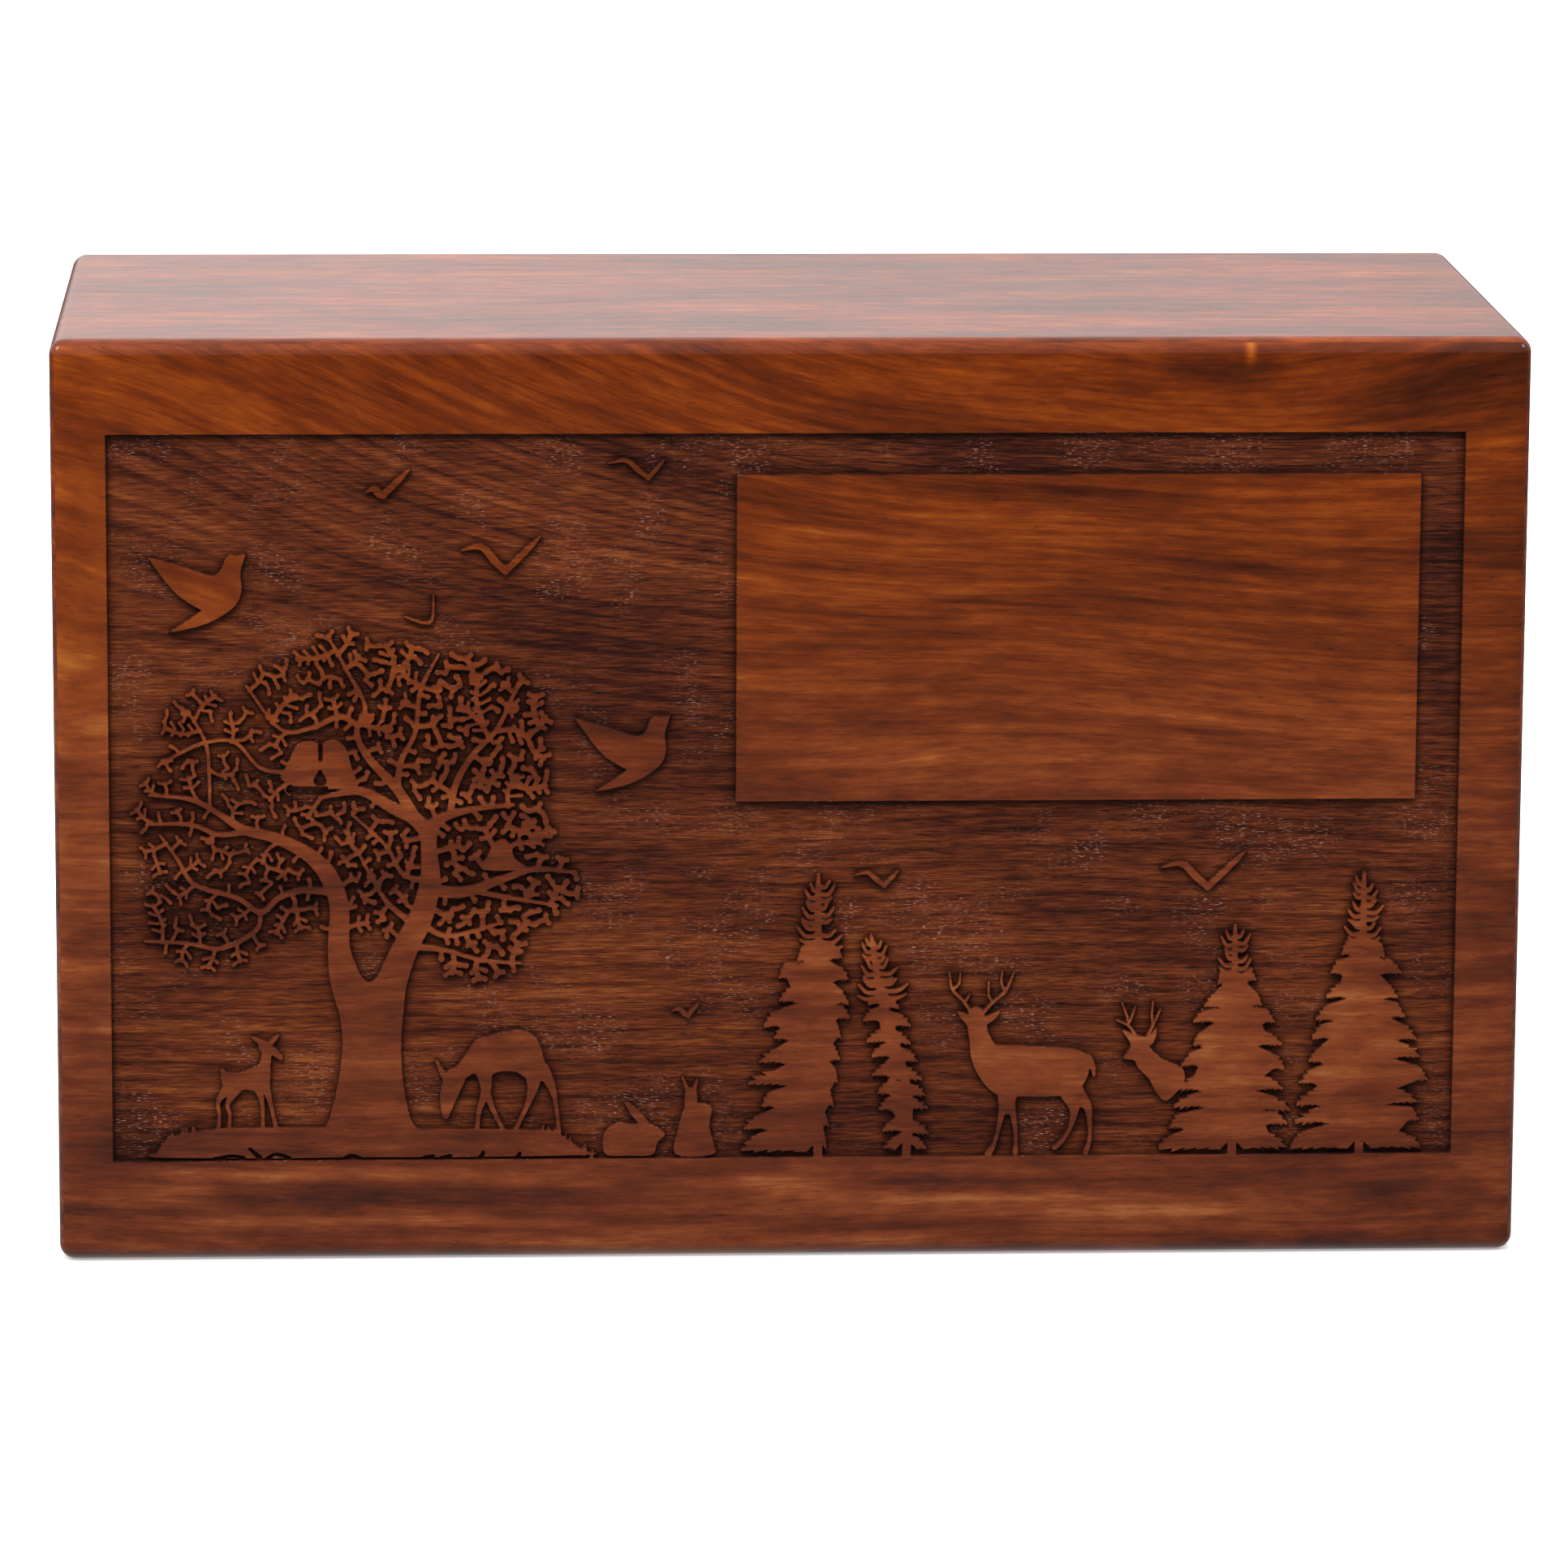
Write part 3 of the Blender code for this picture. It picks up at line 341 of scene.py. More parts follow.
# The same wood burnt away by a laser: matt and red brown, with fibres raised, painted highlights where a few
# glint, and painted shade
engravedGround = {
    "tones": ((0.0, "1e0906"), (0.3, "3c160c"), (0.5, "592714"), (0.7, "733519"), (1.0, "9c552b")),
    "roughness": 0.60,
    "specular": 0.18,
    # painted highlights: pale specks put into the colour where raised fibres would catch the light
    "paintedGlint": "ae7f70",
    "paintedGlintSize": (1.00, 0.18, 0.6),  # mm
    "paintedGlintShare": 0.655,
    "paintedGlintEdge": 0.12,
    "paintedGlintAreas": (0.49, 0.64),  # the painted glints lie in patches, from none to all of the fibres
    # painted shade: the ground darkens in narrow pockets and at the foot of walls, for their shadow and some
    # char
    "pocketPaintedShadeReach": 1.8 * mm,  # how far the painted shade of a wall reaches over the ground
    "pocketPaintedShadeDark": 0.20,
    "pocketPaintedShadeOpenness": (0.42, 1.0),  # from the foot of a wall to open ground
    "fibreDepth": 0.14 * mm,
    # the walls: laser char, darkened further as painted shade
    "scorchAndPaintedShade": "200d08",
    "scorchAndPaintedShadeShare": 0.75,
}


def engravedRosewood(name, board, isScorchedAndShaded=False):
    material, tree, shader = newMaterial(name)
    grain = addGrain(tree, board, True)
    ground = engravedGround
    tones = addNode(tree, "ShaderNodeValToRGB",
                    stopsOf(ground["tones"]), {0: grain["tone"]})
    colour = tones.outputs["Color"]
    # the walls go near black: part laser char, part painted shade
    if isScorchedAndShaded:
        burnt = addNode(tree, "ShaderNodeMix", {"data_type": "RGBA", "blend_type": "MIX"},
                        {0: ground["scorchAndPaintedShadeShare"], 6: colour, 7: linear(ground["scorchAndPaintedShade"])})
        colour = burnt.outputs[2]
    else:
        # painted highlights: pale specks mixed into the colour, in patches
        paintedGlintSpeck = stretchedNoise(tree, grain["straight"], ground["paintedGlintSize"], 0.0)
        share = addNode(tree, "ShaderNodeMapRange", {},
                        {"Value": paintedGlintSpeck, "From Min": ground["paintedGlintShare"],
                         "From Max": ground["paintedGlintShare"] + ground["paintedGlintEdge"]})
        area = addNode(tree, "ShaderNodeTexNoise", {},
                       {"Vector": grain["straight"], "Scale": 0.09, "Detail": 3.0})
        none, every = ground["paintedGlintAreas"]
        where = addNode(tree, "ShaderNodeMapRange", {},
                        {"Value": area.outputs["Fac"], "From Min": none, "From Max": every})
        both = addNode(tree, "ShaderNodeMath", {"operation": "MULTIPLY"},
                       {0: share.outputs[0], 1: where.outputs[0]})
        paintedGlintColour = addNode(tree, "ShaderNodeMix", {"data_type": "RGBA", "blend_type": "MIX"},
                      {0: both.outputs[0], 6: colour, 7: linear(ground["paintedGlint"])})
        # painted shade: ambient occlusion darkens the colour in pockets and at the foot of walls
        pocketPaintedShade = addNode(tree, "ShaderNodeAmbientOcclusion", {"samples": 6},
                         {"Distance": ground["pocketPaintedShadeReach"]})
        closed, clear = ground["pocketPaintedShadeOpenness"]
        shade = addNode(tree, "ShaderNodeMapRange", {},
                        {"Value": pocketPaintedShade.outputs["AO"], "From Min": closed, "From Max": clear,
                         "To Min": ground["pocketPaintedShadeDark"], "To Max": 1.0})
        dark = addNode(tree, "ShaderNodeVectorMath", {"operation": "SCALE"},
                       {0: paintedGlintColour.outputs[2], "Scale": shade.outputs[0]})
        colour = dark.outputs[0]
    tree.links.new(colour, shader.inputs["Base Color"])
    bump = addNode(tree, "ShaderNodeBump", {},
                   {"Height": grain["fibres"], "Strength": 1.0, "Distance": ground["fibreDepth"]})
    tree.links.new(bump.outputs[0], shader.inputs["Normal"])
    shader.inputs["Roughness"].default_value = ground["roughness"]
    shader.inputs["Specular IOR Level"].default_value = ground["specular"]
    return material


# Brass, turned and left to dull: yellow metal with fine turning lines and brown in its low places
agedBrass = {
    "bright": "c9a15a",
    "dull": "7c5a2c",
    "roughness": 0.34,
    "lineSpacing": 0.18,  # mm, coarser than a real turning line so that it shows
}


def turnedBrass(name):
    material, tree, shader = newMaterial(name)
    place = addNode(tree, "ShaderNodeTexCoord", {}, {}).outputs["Object"]
    # a wave texture's bands repeat every 0.314 over its scale
    lines = addNode(tree, "ShaderNodeTexWave", {"bands_direction": "Z"},
                    {"Vector": place, "Scale": 0.314 / (agedBrass["lineSpacing"] * mm), "Distortion": 1.0})
    stain = addNode(tree, "ShaderNodeTexNoise", {}, {"Vector": place, "Scale": 900.0, "Detail": 4.0})
    age = addNode(tree, "ShaderNodeMapRange", {},
                  {"Value": stain.outputs["Fac"], "From Min": 0.35, "From Max": 0.7})
    colour = addNode(tree, "ShaderNodeMix", {"data_type": "RGBA", "blend_type": "MIX"},
                     {0: age.outputs[0], 6: linear(agedBrass["bright"]), 7: linear(agedBrass["dull"])})
    rough = addNode(tree, "ShaderNodeMath", {"operation": "MULTIPLY_ADD"},
                    {0: age.outputs[0], 1: 0.25, 2: agedBrass["roughness"] - 0.1})
    bump = addNode(tree, "ShaderNodeBump", {},
                   {"Height": lines.outputs["Fac"], "Strength": 0.3, "Distance": 0.01 * mm})
    tree.links.new(colour.outputs[2], shader.inputs["Base Color"])
    tree.links.new(rough.outputs[0], shader.inputs["Roughness"])
    tree.links.new(bump.outputs[0], shader.inputs["Normal"])
    shader.inputs["Metallic"].default_value = 1.0
    return material


# The boards: slabs mitred at 45 degrees, all rounded to one outer form

boxForm = {
    "thickness": 13.0 * mm,
    "edgeRadius": 3.0 * mm,
    "edgeSteps": 9,  # an odd count, so that no facet edge lies along a mitre
    "seam": 0.01 * mm,
    "lip": 5.0 * mm,  # what a board keeps outside the base panel
    "baseThickness": 9.0 * mm,
    "baseFit": 0.3 * mm,
    "baseChamfer": 0.6 * mm,
    "overcut": 4.0 * mm,
}


def meshObject(name, bm):
    bmesh.ops.recalc_face_normals(bm, faces=bm.faces)
    mesh = bpy.data.meshes.new(name)
    bm.to_mesh(mesh)
    bm.free()
    made = bpy.data.objects.new(name, mesh)
    bpy.context.scene.collection.objects.link(made)
    return made


def block(name, low, high, radius=0.0, steps=1):
    bm = bmesh.new()
    bmesh.ops.create_cube(bm, size=1.0)
    for vert in bm.verts:
        vert.co = Vector(low[i] + (vert.co[i] + 0.5) * (high[i] - low[i]) for i in range(3))
    if radius:
        bmesh.ops.bevel(bm, geom=bm.edges[:], offset=radius, segments=steps, profile=0.5, affect="EDGES")
    return meshObject(name, bm)


def combine(target, cutter, operation):
    change = target.modifiers.new(operation.lower(), "BOOLEAN")
    change.operation = operation
    change.object = cutter


def settle(target):
    # makes the modifiers part of the mesh
    graph = bpy.context.evaluated_depsgraph_get()
    mesh = bpy.data.meshes.new_from_object(target.evaluated_get(graph))
    target.modifiers.clear()
    target.data = mesh
    return target


def discard(*objects):
    for thing in objects:
        bpy.data.objects.remove(thing)


def wedge(name, axis, side):
    # a slab that runs past the outer form and narrows inwards at 45 degrees
    face = boxLow[axis] if side < 0 else boxHigh[axis]
    others = [i for i in range(3) if i != axis]
    bm = bmesh.new()
    for depth in (-boxForm["overcut"], boxForm["thickness"]):
        inset = depth + boxForm["seam"] / math.sqrt(2)
        for ends in ((-1, -1), (-1, 1), (1, -1), (1, 1)):
            corner = [0.0, 0.0, 0.0]
            corner[axis] = face - side * depth
            for i, end in zip(others, ends):
                if end > 0:
                    corner[i] = boxHigh[i] - inset
                elif i == 2:
                    corner[i] = -boxForm["overcut"]
                else:
                    corner[i] = boxLow[i] + inset
            bm.verts.new(corner)
    bmesh.ops.convex_hull(bm, input=bm.verts)
    return meshObject(name, bm)


def mitredBoard(name, axis, side):
    board = wedge(name, axis, side)
    outerForm = block("outerForm", boxLow, boxHigh, boxForm["edgeRadius"], boxForm["edgeSteps"])
    combine(board, outerForm, "INTERSECT")
    cutters = [outerForm]
    if axis != 2:
        lip, over = boxForm["lip"], boxForm["overcut"]
        rebate = block("rebate", (boxLow.x + lip, boxLow.y + lip, -over),
                       (boxHigh.x - lip, boxHigh.y - lip, boxForm["baseThickness"] + boxForm["baseFit"]))
        combine(board, rebate, "DIFFERENCE")
        cutters.append(rebate)
    if axis == 0:
        for place in screwPlaces():
            if place.x * side > 0:
                hole = turned("hole", screwProfile(screwForm["fit"]), place)
                combine(board, hole, "DIFFERENCE")
                cutters.append(hole)
    settle(board)
    discard(*cutters)
    return board


def outwards(spot):
    # the way a spot on the rounded outer form faces, and how far it lies from that form
    radius = boxForm["edgeRadius"]
    core = Vector(max(boxLow[i] + radius, min(boxHigh[i] - radius, spot[i])) for i in range(3))
    away = Vector(spot) - core
    return away.normalized(), away.length - radius


def shadeBoard(mesh, fixed=()):
    # exact normals on the rounded form, flat ones elsewhere; fixed holds the relief's own
    normals = []
    for polygon in mesh.polygons:
        found = [outwards(mesh.vertices[k].co) for k in polygon.vertices]
        isOuter = all(abs(gap) < 0.02 * mm for _, gap in found)
        normals += [way if isOuter else polygon.normal.copy() for way, _ in found]
    normals[len(normals) - len(fixed):] = fixed
    mesh.polygons.foreach_set("use_smooth", [True] * len(mesh.polygons))
    mesh.normals_split_custom_set(normals)
    mesh.update()


# The screws that hold the base panel

screwForm = {
    "length": 22.0 * mm,
    "headRadius": 2.7 * mm,
    "headHeight": 2.0 * mm,
    "rim": 0.3 * mm,
    "rimRound": 0.12 * mm,
    "shankRadius": 1.5 * mm,
    "rootRadius": 1.1 * mm,
    "pitch": 1.25 * mm,
    "plainShank": 7.0 * mm,
    "point": 3.6 * mm,
    "sunk": 0.4 * mm,
    "setback": 28.0 * mm,
    "fit": 0.3 * mm,
    "slotWidth": 0.8 * mm,
    "slotDepth": 0.9 * mm,
    "sides": 32,
    "threadSteps": 6,  # rings in one turn of the thread
}


def screwPlaces():
    x = boxHigh.x - (boxForm["lip"] + boxForm["thickness"]) / 2
    y = boxHigh.y - screwForm["setback"]
    return [Vector((sx * x, sy * y, screwForm["sunk"])) for sx in (-1, 1) for sy in (-1, 1)]


def screwProfile(fit):
    # radius and height from the head up; with a fit it is the screw's hole
    form = screwForm
    return [(form["headRadius"] + fit, -boxForm["overcut"]), (form["headRadius"] + fit, form["rim"]),
            (form["shankRadius"] + fit, form["headHeight"]),
            (form["shankRadius"] + fit, form["length"] - form["point"]), (0.0, form["length"] + fit)]


def turned(name, profile, centre, radiusAt=None):
    # a round solid about a vertical axis; radiusAt may change a ring's radius as it goes round
    sides = screwForm["sides"]
    bm = bmesh.new()
    rings = []
    for radius, height in profile:
        ring = []
        for k in range(sides if radius else 1):
            turn = 2 * math.pi * k / sides
            reach = radiusAt(radius, height, k / sides) if radiusAt else radius
            spot = Vector((reach * math.cos(turn), reach * math.sin(turn), height))
            ring.append(bm.verts.new(centre + spot))
        rings.append(ring)
    for lower, upper in zip(rings, rings[1:]):
        for k in range(sides):
            n = (k + 1) % sides
            if len(upper) == 1:
                bm.faces.new((lower[k], lower[n], upper[0]))
            else:
                bm.faces.new((lower[k], lower[n], upper[n], upper[k]))
    for ring in (rings[0], rings[-1]):
        if len(ring) > 1:
            bm.faces.new(ring)
    return meshObject(name, bm)


def threadedRadius(radius, height, turn):
    # a sharp ridge that winds up the screw, dying out into its point
    form = screwForm
    start, end = form["plainShank"], form["length"]
    if not start < height < end:
        return radius
    ridge = abs((((height - start) / form["pitch"] - turn) % 1.0) * 2 - 1)
    depth = (form["shankRadius"] - form["rootRadius"]) * min(1.0, (height - start) / form["pitch"])
    return max(radius - depth * (1 - ridge), 0.08 * mm)


def baseScrew(name, place, finish):
    form = screwForm
    profile = [(form["headRadius"] - form["rimRound"], 0.0), (form["headRadius"], form["rimRound"]),
               (form["headRadius"], form["rim"]), (form["shankRadius"], form["headHeight"]),
               (form["shankRadius"], form["plainShank"])]
    step = form["pitch"] / form["threadSteps"]
    height = form["plainShank"] + step
    while height < form["length"] - step:
        taper = min(1.0, (form["length"] - height) / form["point"])
        profile.append((form["shankRadius"] * taper, height))
        height += step
    profile.append((0.0, form["length"]))
    screw = turned(name, profile, place, threadedRadius)
    reach, over = form["headRadius"] * 1.2, 1.0 * mm
    slot = block("slot", place - Vector((reach, form["slotWidth"] / 2, over)),
                 place + Vector((reach, form["slotWidth"] / 2, form["slotDepth"])))
    combine(screw, slot, "DIFFERENCE")
    settle(screw)
    discard(slot)
    screw.data.materials.append(finish)
    screw.data.shade_smooth()
    screw.data.set_sharp_from_angle(angle=math.radians(32))
    return screw


# The engraved picture. A grid over the front holds each spot's distance to the nearest edge of what
# is left standing, in mm, and less than zero inside it.

engraving = {
    "left": -129.5, "right": 127.5, "bottom": 19.6, "top": 160.0,  # the engraved field
    "plate": (-10.7, 89.2, 119.3, 152.2),  # left, bottom, right and top of the blank name plate
    "cell": 0.16,
    "rim": 1.6,  # how far the grid runs past the field
    # distance from the edge, and depth: the face, its burnt shoulder and the foot of the wall
    "levels": ((-0.15, 0.0), (-0.03, 0.09), (0.09, 1.2)),
    "slack": 0.010,  # how far a contour may stray when points are dropped
    "fillet": 0.35,  # rounds the corner where two strokes meet
    "smallest": 7,  # a contour with fewer points isn't cut
}
gridX, gridZ = np.meshgrid(
    np.arange(engraving["left"] - engraving["rim"], engraving["right"] + engraving["rim"], engraving["cell"]),
    np.arange(engraving["bottom"] - engraving["rim"], engraving["top"] + engraving["rim"], engraving["cell"]))
standing = np.minimum(np.minimum(gridX - engraving["left"], engraving["right"] - gridX),
                      np.minimum(gridZ - engraving["bottom"], engraving["top"] - gridZ))


def windowRound(spots, reach):
    # the rows and columns of the grid that a shape can change
    low = (spots.min(axis=0)[:2] - reach - (gridX[0, 0], gridZ[0, 0])) / engraving["cell"]
    high = (spots.max(axis=0)[:2] + reach - (gridX[0, 0], gridZ[0, 0])) / engraving["cell"]
    return (slice(max(int(low[1]), 0), max(int(high[1]) + 2, 0)),
            slice(max(int(low[0]), 0), max(int(high[0]) + 2, 0)))


def leave(spots, distanceTo, fillet=None, reach=2.0):
    # adds a shape to what is left standing; reach is how far off its distance matters
    fillet = engraving["fillet"] if fillet is None else fillet
    rows, columns = windowRound(spots, reach)
    here = standing[rows, columns]
    near = distanceTo(spots, gridX[rows, columns], gridZ[rows, columns])
    fold = np.maximum(fillet - np.abs(here - near), 0.0)
    standing[rows, columns] = np.minimum(here, near) - fold ** 2 / (4 * max(fillet, 1e-6))


def cutAway(spots, distanceTo):
    rows, columns = windowRound(spots, 2.0)
    near = distanceTo(spots, gridX[rows, columns], gridZ[rows, columns])
    standing[rows, columns] = np.maximum(standing[rows, columns], -near)


def fromLine(start, end, x, z):
    # which share of a line lies nearest to each spot, and the way from there to the spot
    (ax, az), (bx, bz) = start[:2], end[:2]
    run = max((bx - ax) ** 2 + (bz - az) ** 2, 1e-9)
    share = np.clip(((x - ax) * (bx - ax) + (z - az) * (bz - az)) / run, 0.0, 1.0)
    return share, x - ax - share * (bx - ax), z - az - share * (bz - az)


def toLimb(path, x, z):
    # distance to a stroke, whose points are (x, z, half width)
    nearest = np.full(x.shape, 99.0)
    for start, end in zip(path, path[1:]):
        share, right, up = fromLine(start, end, x, z)
        nearest = np.minimum(nearest, np.hypot(right, up) - start[2] - share * (end[2] - start[2]))
    return nearest


def toLoop(loop, x, z):
    nearest = np.full(x.shape, 1e6)
    inside = np.zeros(x.shape, bool)
    for (ax, az), (bx, bz) in zip(loop, np.roll(loop, -1, axis=0)):
        _, right, up = fromLine((ax, az), (bx, bz), x, z)
        nearest = np.minimum(nearest, right ** 2 + up ** 2)
        if az != bz:
            inside ^= ((az > z) != (bz > z)) & (x < ax + (z - az) * (bx - ax) / (bz - az))
    return np.where(inside, -1.0, 1.0) * np.sqrt(nearest)


def hermite(a, headingA, b, headingB, steps=6):
    t = np.linspace(0.0, 1.0, steps, endpoint=False)[:, None]
    return ((2 * t**3 - 3 * t**2 + 1) * a + (t**3 - 2 * t**2 + t) * headingA
            + (3 * t**2 - 2 * t**3) * b + (t**3 - t**2) * headingB)


def limb(points):
    # a curve through the points of a stroke
    spots = np.array(points, float)
    if len(spots) < 3:
        return spots
    headings = np.gradient(spots, axis=0)
    runs = [hermite(*parts) for parts in zip(spots, headings, spots[1:], headings[1:])]
    return np.vstack([*runs, spots[-1:]])


def curvedLoop(points):
    # a closed curve through the points. A point with a third value is a sharp corner
    spots = np.array([p[:2] for p in points], float)
    headings = (np.roll(spots, -1, axis=0) - np.roll(spots, 1, axis=0)) / 2
    headings[[len(p) > 2 for p in points]] = 0.0
    return np.vstack([hermite(*parts) for parts in zip(spots, headings, np.roll(spots, -1, axis=0),
                                                       np.roll(headings, -1, axis=0))])


# The great tree. Strokes are (x, z, half width)
greatTree = {
    "trunk": ((-92.0, 22.0), (-88.7, 26.6), (-86.9, 33.0), (-85.7, 42.0), (-86.4, 50.0), (-87.2, 57.0),
              (-84.2, 58.6), (-80.6, 54.4), (-76.8, 57.6), (-73.8, 55.0), (-74.4, 42.0), (-73.8, 33.0),
              (-72.2, 26.6), (-69.0, 22.0)),
    "limbs": (
        # the left arm
        ((-82.2, 45.0, 2.6), (-84.8, 54.0, 3.0), (-86.2, 61.0, 2.2), (-86.1, 69.0, 1.9), (-88.0, 75.0, 1.8),
         (-92.0, 79.4, 1.4), (-98.2, 82.6, 1.1), (-104.0, 84.2, 0.9), (-109.2, 87.6, 0.6),
         (-114.4, 90.2, 0.5), (-122.0, 91.0, 0.3)),
        # the right arm, up to the high fork
        ((-78.0, 47.0, 3.8), (-76.3, 54.0, 3.0), (-73.6, 61.0, 2.5), (-70.6, 67.0, 2.3), (-68.8, 74.0, 2.0),
         (-69.0, 80.0, 1.6), (-69.1, 84.5, 1.6)),
        # branches of the left arm
        ((-103.0, 83.9, 0.6), (-109.0, 83.3, 0.5), (-114.0, 85.2, 0.45), (-122.5, 85.4, 0.3)),
        ((-86.5, 72.0, 0.9), (-93.0, 72.4, 0.7), (-97.5, 71.0, 0.6), (-101.0, 68.2, 0.6),
         (-105.6, 71.0, 0.5), (-113.5, 73.6, 0.5), (-116.7, 78.5, 0.4), (-120.0, 83.2, 0.3)),
        ((-101.0, 68.4, 0.5), (-102.0, 64.6, 0.5), (-108.6, 61.2, 0.5), (-115.0, 62.2, 0.4),
         (-123.0, 62.6, 0.3)),
        ((-110.5, 89.0, 0.4), (-110.6, 95.0, 0.4), (-111.2, 101.0, 0.4), (-114.4, 107.0, 0.3)),
        ((-96.0, 95.2, 0.5), (-101.0, 96.2, 0.4), (-105.8, 101.2, 0.4), (-112.0, 100.9, 0.4),
         (-119.5, 97.2, 0.3)),
        # branches of the right arm
        ((-68.9, 83.0, 1.5), (-71.8, 86.3, 1.4), (-76.0, 88.4, 1.2), (-82.0, 91.6, 0.9), (-89.5, 90.4, 0.4)),
        ((-71.4, 86.0, 1.2), (-75.0, 92.0, 1.0), (-80.4, 98.0, 0.8), (-82.6, 103.0, 0.6),
         (-81.0, 108.0, 0.5), (-84.5, 115.0, 0.4), (-88.0, 121.5, 0.3)),
        ((-82.6, 104.5, 0.6), (-86.0, 106.0, 0.6), (-91.0, 103.9, 0.5), (-97.0, 103.6, 0.4),
         (-103.5, 112.0, 0.3)),
        ((-75.0, 92.0, 0.7), (-74.2, 97.5, 0.6), (-71.5, 103.0, 0.5), (-70.5, 111.0, 0.5),
         (-67.0, 118.0, 0.3)),
        ((-69.0, 84.0, 1.4), (-66.0, 86.6, 1.0), (-60.0, 88.1, 0.6), (-53.0, 88.8, 0.4)),
        ((-65.0, 87.0, 0.7), (-63.8, 93.0, 0.7), (-60.6, 98.5, 0.6), (-56.0, 103.5, 0.5),
         (-52.5, 111.0, 0.4)),
        ((-68.4, 72.4, 1.3), (-62.5, 71.9, 1.1), (-55.0, 74.4, 0.8), (-49.0, 76.3, 0.6), (-41.0, 75.6, 0.3)),
        ((-60.0, 72.0, 0.6), (-54.0, 70.8, 0.5), (-44.5, 69.2, 0.3)),
        ((-70.8, 66.0, 0.7), (-66.0, 63.4, 0.5), (-59.5, 64.6, 0.4), (-55.0, 66.0, 0.3)),
        ((-73.0, 61.5, 0.8), (-66.0, 60.6, 0.5), (-59.0, 58.6, 0.4), (-51.5, 58.0, 0.3)),
        ((-72.5, 66.0, 0.7), (-77.0, 70.0, 0.5), (-80.0, 75.0, 0.4), (-82.6, 80.0, 0.3)),
        ((-69.0, 74.0, 0.7), (-74.0, 75.5, 0.5), (-77.2, 81.0, 0.4), (-83.5, 87.0, 0.3)),
    ),
    # where twigs grow, as (x, z, half width, half height), and what they leave free, as (x, z, radius)
    "lobes": (
        (-81.0, 106.0, 24.0, 14.5), (-86.5, 114.0, 8.0, 8.6), (-66.0, 104.0, 19.5, 14.0),
        (-112.5, 103.5, 7.0, 7.6), (-109.0, 86.0, 15.5, 16.0), (-110.0, 69.0, 14.0, 11.5),
        (-96.0, 70.0, 13.0, 8.0), (-90.0, 86.0, 20.0, 11.0), (-57.0, 96.0, 10.5, 14.0),
        (-50.0, 73.0, 9.5, 7.0), (-50.0, 83.2, 4.0, 3.4), (-59.5, 60.0, 8.5, 5.4),
        (-61.0, 66.0, 8.0, 5.0), (-78.0, 74.0, 8.0, 11.0), (-66.0, 78.0, 6.0, 9.0),
        (-72.0, 92.0, 12.0, 8.0),
    ),
    "clearings": (
        (-79.8, 55.0, 7.0), (-80.5, 62.0, 3.6), (-94.0, 56.0, 9.0), (-89.8, 98.0, 6.4),
        (-90.0, 94.6, 6.2), (-56.5, 81.0, 3.6), (-92.0, 102.4, 2.0),
    ),
    # thick hearts of the leaf clusters, as (x, z, radius)
    "hearts": (
        (-67.4, 111.3, 0.9), (-53.2, 107.6, 1.2), (-73.4, 108.6, 0.8), (-81.0, 105.8, 1.0),
        (-59.6, 113.6, 0.8), (-74.2, 115.2, 0.8), (-94.6, 109.8, 0.8), (-58.0, 97.2, 1.0),
        (-52.6, 94.0, 0.9), (-54.4, 112.0, 0.8), (-84.0, 82.0, 0.7), (-80.0, 75.0, 0.7),
        (-94.6, 68.6, 0.6), (-93.4, 117.2, 0.6), (-115.0, 106.8, 0.7), (-76.8, 103.6, 0.9),
        (-62.0, 107.4, 0.8), (-50.0, 71.6, 0.9), (-99.0, 106.0, 0.6), (-119.0, 97.4, 0.6),
        (-110.6, 82.0, 0.7), (-72.6, 77.0, 0.7), (-49.8, 83.0, 2.1),
    ),
    "fork": (-79.0, 56.0),  # the twigs lean away from it
    "lean": 0.30,
    "spacing": 0.42,  # between the spots where a twig may end
    # twigs are set out in passes: how far their ends lie from what stands, the half width of twig and bud,
    # the leaves' length, and the x they begin at
    "passes": ((2.9, 7.0, 0.42, 0.50, 1.50, -130.0), (2.0, 2.9, 0.40, 0.48, 1.15, -130.0),
               (1.35, 2.0, 0.38, 0.48, 0.0, -130.0), (0.95, 1.35, 0.36, 0.46, 0.0, -98.0)),
    "leafWidth": 0.38,
    "leafGap": 1.65,  # from one pair of leaves to the next along a twig
    "leafTurn": 1.05,  # from the twig, in radians
    "thickening": ((-104.0, -62.0), (0.94, 1.34)),  # from x to x, twigs are thicker and closer to the right
    "bend": 0.16,
    "seed": 11,
}


def backFrom(x, z):
    # how far a spot lies from what stands, and the way there
    cell = engraving["cell"]
    i = int(round((x - gridX[0, 0]) / cell))
    j = int(round((z - gridZ[0, 0]) / cell))
    run = np.array((standing[j, i - 1] - standing[j, i + 1], standing[j - 1, i] - standing[j + 1, i]))
    return standing[j, i], run / max(np.hypot(*run), 1e-9)


def leaveTwig(spot, width, bud, chance):
    # from the nearest wood to a spot, leaning away from the fork
    tree = greatTree
    distance, back = backFrom(*spot)
    root = spot + back * distance
    toFork = np.array(tree["fork"]) - spot
    root = root + toFork / np.hypot(*toFork) * distance * tree["lean"]
    short, back = backFrom(*root)
    root = root + back * (short + 0.3)
    run = spot - root
    middle = (root + spot) / 2 + np.array((-run[1], run[0])) * chance.uniform(-tree["bend"], tree["bend"])
    path = np.array(((*root, width), (*middle, width), (*spot, bud)))
    leave(limb(path) if distance > 3 else path, toLimb, reach=6.0 if distance > 2 else 3.0)
    return root


